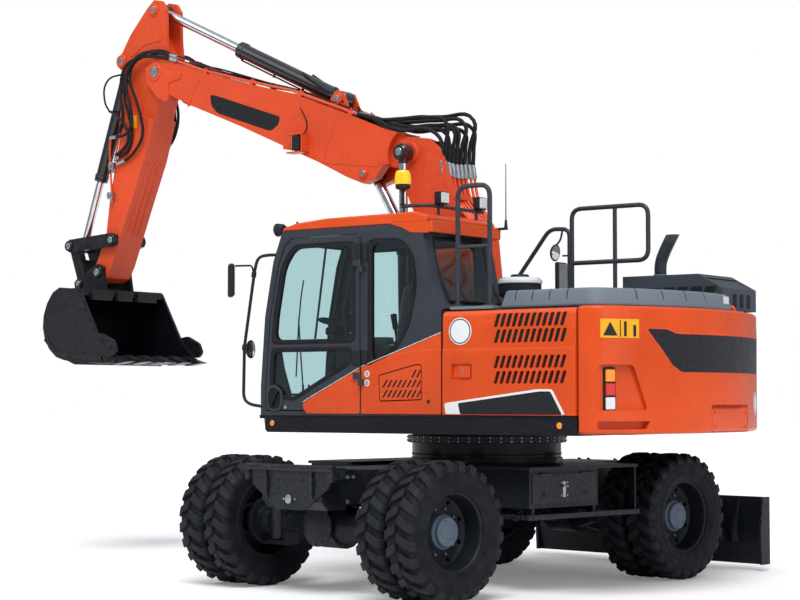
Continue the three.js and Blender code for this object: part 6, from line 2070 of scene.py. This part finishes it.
@dataclass
class Boom(Assembly):
    """Pins, lines, hoses, plates and the lamp of the boom and the arm.

    Attributes:
        half: Half of the upper boom's width.
        crown: Top edge of the upper boom from the knuckle to the tip.
        knuckle: Joint of the two boom sections.
        tip: Joint of the boom and the arm.
    """

    half: float = 165.0
    crown: Outline = ((900, 3730), (1399, 3936), (1953, 4145), (2531, 4295), (3010, 4435), (3490, 4611))
    knuckle: tuple[float, float] = (676.0, 3514.0)
    tip: tuple[float, float] = (3602.0, 4501.0)

    def build(self) -> None:
        """Models the details in order."""
        self._pins()
        self._top_lines()
        self._knuckle_hoses()
        self._plates()
        self._lamp()
        self._arm_lines()
        self._arm_plates()

    def _pin(self, name: str, at: tuple[float, float], body: str, out: float, radius: float,
             finish: Finish) -> None:
        """Pin heads with a lock bolt on both faces of a joint.

        Args:
            name: Stem of the names.
            at: Place of the pin.
            body: Body that holds the pin.
            out: Distance of the head's foot from the centre line.
            radius: Radius of the head.
            finish: Finish of the collar.
        """
        collars, caps = [], []
        for s in (1, -1):
            collars.append(Bench.turned("collar", [(0, -2), (radius, -2), (radius, 12), (radius - 5, 18),
                                                   (radius * 0.66, 18), (radius * 0.62, 12), (0, 12)],
                                                   (at[0], s * out, at[1]), (0, s, 0), 32))
            caps.append(Bench.turned("cap", [(0, 10), (radius * 0.58, 10), (radius * 0.58, 20),
                                             (radius * 0.5, 23), (0, 23)],
                                     (at[0], s * out, at[1]), (0, s, 0), 28))
            bolt = (at[0] + radius * 0.2, s * (out + 22), at[1] + radius * 0.1)
            caps.append(Bench.rod("bolt", bolt, (bolt[0], s * (out + 30), bolt[2]), 9, 6, 1.5))
        self.group(name + "_collars", collars, body, finish)
        self.group(name + "_caps", caps, body, Finish.STEEL)

    def _pins(self) -> None:
        """Heads of every pin that shows."""
        for pin in (
            ("knuckle_pin", self.knuckle, "lower_boom", 150, 96, Finish.ORANGE_FRAME),
            ("tip_pin", self.tip, "upper_boom", 165, 84, Finish.ORANGE_FRAME),
            ("adjust_pin", (1147, 3378), "upper_boom", 165, 44, Finish.ORANGE_FRAME),
            ("arm_eye_pin", (3670, 5105), "arm", 118, 54, Finish.ORANGE_FRAME),
            ("bucket_ram_pin", (4085, 4660), "arm", 118, 60, Finish.ORANGE_FRAME),
            ("guide_pin", (4126, 2957), "guide_link", 200, 52, Finish.TOOL),
            ("link_pin", (4690, 2923), "guide_link", 200, 50, Finish.TOOL),
            ("bucket_pin", (4311, 2657), "bucket", 192, 58, Finish.TOOL),
            ("ear_pin", (4560, 2560), "bucket", 192, 44, Finish.TOOL),
            ("foot_pin", (40, 1820), "upper", 182, 70, Finish.ORANGE_FRAME),
            ("arm_ram_pin", (1494, 4062), "upper_boom", 92, 56, Finish.ORANGE_FRAME),
            ("adjust_base_pin", (430, 2160), "lower_boom", 94, 50, Finish.ORANGE_FRAME),
        ):
            self._pin(*pin)
        x, z = self.knuckle
        for name, s in SIDES:
            neck = Bench.rod("lift_pin_neck_" + name, (x, s * 150, z), (x, s * 190, z), 46, 28, 2)
            self.fit(neck, "lower_boom", Finish.CYLINDER)
            collar = Bench.turned("lift_eye_collar_" + name, [(0, -3), (60, -3), (62, 0), (62, 10), (56, 16),
                                                              (38, 16), (36, 10), (0, 10)],
                                  (x, s * 288, z), (0, s, 0), 32)
            self.fit(collar, "lift_rod_" + name, Finish.CYLINDER)
            cap = Bench.turned("lift_eye_cap_" + name, [(0, 9), (34, 9), (34, 19), (30, 22), (0, 22)],
                               (x, s * 288, z), (0, s, 0), 28)
            self.fit(cap, "lift_rod_" + name, Finish.STEEL)

    def _over(self, x: float, lift: float) -> float:
        """Height over the top of the upper boom at a place along it."""
        for (x0, z0), (x1, z1) in zip(self.crown, self.crown[1:]):
            if x <= x1:
                return z0 + (z1 - z0) * (x - x0) / (x1 - x0) + lift
        return self.crown[-1][1] + lift

    def _top_lines(self) -> None:
        """Painted pipes, clamps and black hoses along the top of the upper boom."""
        stops = (1250, 1399, 1700, 1953, 2250, 2531, 2800, 3010, 3250, 3440)
        pipes, hoses, clamps = [], [], []
        for y in (157, 133, -133, -157):
            pipes.append(Bench.tube("pipe", [(x, y, self._over(x, 26)) for x in stops], 13, 12, False))
        for y, lift in ((88, 18), (-92, 20), (104, 44)):
            shift = math.copysign(56, y)
            route = [(x, y + shift * min(1.0, max(0.0, (x - 2300) / 500)) + 4 * math.sin(x * 0.01 + y),
                      self._over(x, lift + (26 if x > 2300 else 0) + 4 * math.sin(x * 0.013 + y)))
                      for x in stops]
            hoses.append(Bench.tube("hose", route, 9, 10, True))
        for x in (1300, 1860, 2420, 2980, 3380):
            for s in (1, -1):
                z = self._over(x, 0)
                clamps.append(Bench.block("clamp", (x - 20, s * 121, z - 6), (x + 20, s * 168, z + 46),
                                          5, 2))
                clamps.append(Bench.rod("bolt", (x, s * 145, z + 44), (x, s * 145, z + 58), 9, 6, 1.5))
        self.group("boom_pipes", pipes, "upper_boom", Finish.ORANGE_FRAME)
        self.group("boom_top_hoses", hoses, "upper_boom", Finish.HOSE)
        self.group("boom_clamps", clamps, "upper_boom", Finish.ORANGE_FRAME)
        feed = [Bench.tube("feed",
                           [(1330, s * 60, self._over(1330, 30)), (1500, s * 96, self._over(1500, 110)),
                                    (1720, s * 98, self._over(1720, 150)), (1900, s * 70, 4330)], 11, 12,
                                    True)
                for s in (1, -1)]
        self.flex(Bench.joined("arm_ram_hoses", feed), ("upper_boom", "arm_barrel"), Finish.HOSE,
                  (1400, 0, 4000), (1800, 0, 4300))

    def _knuckle_hoses(self) -> None:
        """Hoses that arch over the knuckle, their fittings and the pipes down the lower boom."""
        hoses, fittings, pipes, caps = [], [], [], []
        spread = ((134, 352, 3378, 320, 3716), (104, 336, 3372, 250, 3770), (76, 318, 3360, 270, 3700),
                  (46, 300, 3352, 210, 3746), (12, 282, 3346, 200, 3712), (-24, 266, 3346, 150, 3778),
                  (-58, 250, 3350, 170, 3728), (-92, 230, 3352, 110, 3796), (-124, 212, 3350, 140, 3748))
        for index, (y, x, z, arch, top) in enumerate(spread):
            start = (1290, y, self._over(1290, 24))
            lift = top + (-22, 26, 4)[index % 3]
            route = [start, (1060, y, self._over(1060, 46)), (780, y * 1.04, lift + 26),
                     (520, y * 1.08, lift + 16), (arch + 80, y * 1.04, lift - 40), (x - 4, y, z + 190),
                     (x + 2, y, z + 40), (x, y, z)]
            hoses.append(Bench.tube("hose", route, 17, 12, True))
            fittings.append(Bench.rod("ferrule", (x + 4, y, z + 56), (x - 10, y, z - 34), 20, 14, 3))
            fittings.append(Bench.rod("nut", (x - 8, y, z - 26), (x - 14, y, z - 62), 22, 6, 3))
            caps.append(Bench.rod("ferrule", (1240, y, self._over(1240, 26)), (1310, y, self._over(1310, 26)),
                                  19, 14, 3))
            pipes.append(Bench.tube("pipe", Bench.bent([(x - 12, y, z - 50), (x - 44, y * 0.98, z - 230),
                                                        (-30, y * 0.94, 2820), (-86, y * 0.92, 2300),
                                                        (-66, y * 0.9, 2000)],
                                                       80), 12, 12, False))
        self.flex(Bench.joined("knuckle_hoses", hoses), ("lower_boom", "upper_boom"), Finish.HOSE,
                  (300, 0, 3500), (1180, 0, 3880))
        self.group("knuckle_ferrules", caps, "upper_boom", Finish.STEEL)
        self.group("knuckle_fittings", fittings, "lower_boom", Finish.STEEL)
        self.group("lower_boom_pipes", pipes, "lower_boom", Finish.ORANGE_FRAME)
        clamps = [Bench.block("clamp", (x - 16, -134, z - 20), (x + 34, 134, z + 20), 6, 2)
                  for x, z in ((210, 3120), (30, 2780), (-60, 2420))]
        self.group("lower_boom_clamps", clamps, "lower_boom", Finish.ORANGE_FRAME)

    def _plates(self) -> None:
        """Blank plate, pressed lines and doubling plates on the sides of the upper boom."""
        blank = Draw.soft([(2911, 4223), (2830, 4204), (2078, 3947), (2100, 3880), (2176, 3834), (2226, 3840),
                           (2820, 4046), (2896, 4120)], 26, 4)
        edge = Draw.soft([(3176, 4140), (3192, 4128), (3058, 4380), (3042, 4376)], 4, 2)
        lower = [(1470, 3828), (1484, 3830), (1604, 3508), (1590, 3502)]
        rear = [(960, 3446), (1000, 3424), (1180, 3448), (1596, 3500), (1596, 3514), (1180, 3462),
                (1000, 3440)]
        fork = Draw.soft([(3726, 4560), (3565, 4560), (3263, 4462), (3270, 4410), (3433, 4380), (3419, 4240),
                          (3462, 4205), (3564, 4256), (3700, 4400), (3712, 4470)], 24, 4)
        for name, s in SIDES:
            foot = s * (self.half - 2)
            plate = Bench.plate("boom_blank_plate_" + name, blank, foot, s * (self.half + 3), Plane.XZ, 1, 1)
            self.fit(plate, "upper_boom", Finish.BLACK)
            proud = 4 if s > 0 else 2
            seams = [Bench.plate("seam", line, foot, s * (self.half + proud), Plane.XZ, 1, 1)
                     for line in (edge, lower, rear)]
            seams.append(Bench.plate("fork", fork, foot, s * (self.half + 9), Plane.XZ, 4, 2))
            self.group("boom_plates_" + name, seams, "upper_boom", Finish.ORANGE_FRAME)

    def _lamp(self) -> None:
        """Work lamp in its guard on the left of the boom."""
        guard = [Bench.block("plate", (1752, 164, 3600), (1766, 262, 3770), 4, 2),
                 Bench.block("plate", (1752, 164, 3758), (1930, 262, 3772), 4, 2),
                 Bench.block("plate", (1752, 164, 3598), (1930, 262, 3612), 4, 2),
                 Bench.plate("cheek", [(1752, 3600), (2040, 3656), (2040, 3776), (1752, 3772)], 162, 172,
                             Plane.XZ, 3)]
        self.group("boom_lamp_guard", guard, "upper_boom", Finish.ORANGE_FRAME)
        self.fit(Bench.block("boom_lamp", (1790, 172, 3622), (1880, 250, 3748), 10, 3), "upper_boom",
                 Finish.PLASTIC)
        self.fit(Bench.block("boom_lamp_lens", (1874, 180, 3632), (1886, 242, 3738), 7, 2), "upper_boom",
                 Finish.CLEAR)
        cable = Bench.tube("boom_lamp_cable",
                           [(1800, 170, 3766), (1770, 168, 3840), (1800, 168, 3930), (1850, 160, 4010),
                                               (1864, 150, 4110)], 6, 8, True)
        self.fit(cable, "upper_boom", Finish.HOSE)

    def _arm_lines(self) -> None:
        """Hoses from the boom tip, valve blocks and pipes on both sides of the arm."""
        near = ([(3380, 138, self._over(3380, 26)), (3500, 150, 4668), (3650, 176, 4664), (3860, 186, 4606),
                 (3905, 190, 4458), (3826, 188, 4257), (3760, 186, 4077), (3745, 184, 3922),
                 (3820, 182, 3800), (3976, 172, 3700), (4090, 168, 3672)],
                [(3380, 138, self._over(3380, 60)), (3540, 152, 4696), (3720, 190, 4680), (3900, 204, 4560),
                 (3940, 206, 4400), (3880, 200, 4165), (3880, 196, 4020), (3960, 186, 3948),
                 (4090, 176, 3930), (4180, 168, 3931)],
                [(3380, 166, self._over(3380, 60)), (3560, 178, 4680), (3790, 182, 4680), (3960, 176, 4540),
                 (3990, 180, 4330), (3930, 176, 4120), (3895, 172, 3930), (3950, 170, 3790),
                 (4060, 166, 3740), (4120, 166, 3720)],
                [(3380, 168, self._over(3380, 26)), (3580, 180, 4640), (3830, 186, 4650), (4010, 168, 4560),
                 (4040, 170, 4300), (4020, 168, 4100), (4060, 166, 3990), (4120, 166, 3900)])
        far = ([(3380, -138, self._over(3380, 26)), (3520, -160, 4670), (3660, -178, 4610),
                (3700, -190, 4400), (3640, -190, 4150), (3660, -186, 3993), (3720, -182, 3880),
                (3814, -172, 3792)],
               [(3380, -166, self._over(3380, 40)), (3560, -176, 4690), (3730, -184, 4650),
                (3780, -204, 4450), (3700, -204, 4180), (3700, -196, 4000), (3780, -184, 3860),
                (3900, -172, 3760)])
        self.flex(Bench.joined("arm_hoses",
                               [Bench.tube("hose", route, 14, 12, True) for route in (*near, *far)]),
                  ("upper_boom", "arm"), Finish.HOSE, (3560, 0, 4700), (3900, 0, 4200))
        ends = [Bench.rod("ferrule", route[-2], route[-1], 17, 12, 3) for route in (*near[:3], *far)]
        heads = [Bench.rod("head", (x - 60, y, z - 20), (x + 30, y, z + 8), 18, 12, 3)
                 for x, y, z in (route[0] for route in (*near, *far) if route[0][0] < 3400)]
        self.group("boom_tip_fittings", heads, "upper_boom", Finish.STEEL)
        for x, y, z in ((4148, 160, 3659), (4160, 160, 3378), (3870, -160, 3740)):
            s = 1 if y > 0 else -1
            ends.append(Bench.block("valve", (x - 34, s * 150, z - 34), (x + 34, s * 196, z + 34), 8, 2))
            ends.append(Bench.rod("port", (x, s * 196, z), (x, s * 214, z), 20, 12, 3))
            ends.append(Bench.rod("port", (x - 10, s * 176, z - 30), (x - 16, s * 176, z - 66), 16, 6, 2))
        self.group("arm_fittings", ends, "arm", Finish.STEEL)
        pipes = [Bench.tube("pipe", Bench.bent([(4182, 165, 3931), (4190, 165, 3740), (4172, 165, 3560),
                                                (4160, 165, 3420)], 50),
                            10, 12, False),
                 Bench.tube("pipe", Bench.bent([(4030, 160, 4330), (4040, 162, 4160), (4060, 162, 3980),
                                                (4128, 160, 3700)], 60),
                            10, 12, False),
                 Bench.tube("pipe", Bench.bent([(3880, -160, 3700), (3960, -160, 3480), (4060, -160, 3200)],
                                               60), 10, 12, False)]
        self.group("arm_pipes", pipes, "arm", Finish.ORANGE_FRAME)
        ram = [Bench.tube("feed", [(4290, 60, 4204), (4200, 130, 4180), (4085, 170, 4127), (3970, 178, 4018),
                                   (3935, 176, 3900), (4020, 170, 3800), (4110, 166, 3762)], 14, 12, True),
               Bench.tube("feed", [(4150, 30, 4560), (4300, 90, 4500), (4330, 96, 4300), (4300, 60, 4200)], 9,
                          10, True),
               Bench.tube("feed", [(4190, -20, 4560), (4330, -80, 4420), (4400, -86, 4150),
                                   (4430, -40, 3950)], 9, 10, True)]
        self.flex(Bench.joined("bucket_ram_hoses", ram), ("arm", "bucket_barrel"), Finish.HOSE,
                  (4120, 0, 4200), (4290, 0, 4200))

    def _arm_plates(self) -> None:
        """Doubling plates, ribs and the blank label of the arm."""
        head = Draw.soft([(3560, 4800), (3590, 5010), (3690, 5030), (3820, 4960), (3960, 4800), (3990, 4700),
                          (3930, 4690), (3800, 4780), (3700, 4790)], 40, 4)
        card = Draw.soft([(3941, 4120), (3850, 4120), (3850, 4000), (3941, 4000)], 6, 2)
        for name, s in SIDES:
            plate = Bench.plate("arm_head_plate_" + name, head, s * 116, s * 125, Plane.XZ, 4, 2)
            self.fit(plate, "arm", Finish.ORANGE_FRAME)
            label = Bench.plate("arm_label_" + name, card, s * 150, s * 154, Plane.XZ, 0.6, 1)
            self.fit(label, "arm", Finish.YELLOW)
        ribs = []
        for y in (-70, 0, 70):
            ribs.append(Bench.tube("rib", [(3757, y, 3680), (3830, y, 3510), (3906, y, 3330),
                                           (4040, y, 3010)], 11, 8, False))
        self.group("arm_ribs", ribs, "arm", Finish.ORANGE_FRAME)


@dataclass
class Tool(Assembly):
    """Teeth, side cutters, wear plates and ribs of the bucket.

    Attributes:
        half: Half of the bucket's width.
        lip: Front edge of the floor.
        teeth: Number of teeth.
    """

    half: float = 560.0
    lip: tuple[float, float] = (3740.0, 1815.0)
    teeth: int = 6

    def build(self) -> None:
        """Models the details in order."""
        x, z = self.lip
        parts = []
        tooth = [(x - 178, z - 20), (x - 60, z - 34), (x + 20, z - 40), (x + 110, z - 34), (x + 120, z + 4),
                 (x + 20, z + 34), (x - 60, z + 14)]
        adapter = [(x - 40, z - 38), (x + 170, z - 36), (x + 170, z + 22), (x + 60, z + 50), (x - 30, z + 26)]
        for index in range(self.teeth):
            y = -self.half + 56 + index * (self.half * 2 - 112) / (self.teeth - 1)
            point = Bench.plate("tooth", tooth, y - 40, y + 40, Plane.XZ, 6, 2)
            for vertex in point.data.vertices:
                pull = max(0.0, min(1.0, (x * MM - vertex.co.x) / 0.178))
                vertex.co.y = y * MM + (vertex.co.y - y * MM) * (1 - 0.45 * pull)
            parts += [point, Bench.plate("adapter", adapter, y - 52, y + 52, Plane.XZ, 8, 2)]
        lip = Bench.plate("lip", [(x - 16, z - 10), (x + 200, z - 34), (x + 200, z + 26), (x + 20, z + 22)],
                          -self.half, self.half, Plane.XZ, 4, 2)
        self.group("bucket_teeth", parts, "bucket", Finish.TOOL)
        self.fit(lip, "bucket", Finish.TOOL)
        brow = [Bench.block("brow", (4128, y - w, 2380), (4196, y + w, 2474), 8, 2)
                for y, w in ((0, 96), (-300, 130), (300, 130))]
        brow.append(Bench.block("brow", (4160, -552, 2420), (4200, 552, 2476), 8, 2))
        self.group("bucket_brow", brow, "bucket", Finish.TOOL)
        for name, s in SIDES:
            blade = Draw.soft([(3700, 1850), (3660, 1900), (3700, 1990), (3850, 2060), (3960, 2040),
                               (3900, 1900), (3860, 1850)], 24, 3)
            cutter = Bench.plate("side_cutter_" + name, blade, s * (self.half - 4), s * (self.half + 30),
                                 Plane.XZ, 7, 2)
            self.fit(cutter, "bucket", Finish.TOOL)
            faces = s * (self.half - 2), s * (self.half + 9)
            edge = [(3930, 2036), (4180, 2470), (4236, 2470), (3990, 2020)]
            wear = [(3860, 1800), (4470, 1856), (4640, 2010), (4600, 2030), (4450, 1900), (3880, 1850)]
            trim = [Bench.plate("trim", shape, *faces, Plane.XZ, 3, 2) for shape in (edge, wear)]
            bolts = [Bench.rod("bolt", (bx, s * (self.half + 28), bz), (bx, s * (self.half + 42), bz), 16, 12,
                               3)
                     for bx, bz in ((3740, 1930), (3850, 1990))]
            self.group("bucket_side_" + name, trim + bolts, "bucket", Finish.TOOL)
        back = []
        for y in (-420, -140, 140, 420):
            line = [(4100, 1782), (4330, 1788), (4484, 1850), (4600, 1950), (4660, 2080), (4655, 2230)]
            outer = [(px + (px - 4250) * 0.03, pz - 10 if pz < 1900 else pz) for px, pz in line]
            back.append(Bench.plate("strip", [*outer, *[(px - 8, pz + 12) for px, pz in reversed(line)]],
                                    y - 45, y + 45, Plane.XZ, 3, 1))
        self.group("bucket_wear_strips", back, "bucket", Finish.TOOL)


ASSEMBLIES = (Coverings, Wheels, Rams, Undercarriage, Body, Cab, Boom, Tool)


def main() -> None:
    """Builds the sub-assemblies in order."""
    logging.basicConfig(level=logging.INFO, format="%(message)s")
    random.seed(SEED)
    bpy.context.scene.view_settings.view_transform = "Standard"
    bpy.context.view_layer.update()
    Stage().build()
    for assembly in ASSEMBLIES:
        assembly().build()


if __name__ == "__main__":
    main()
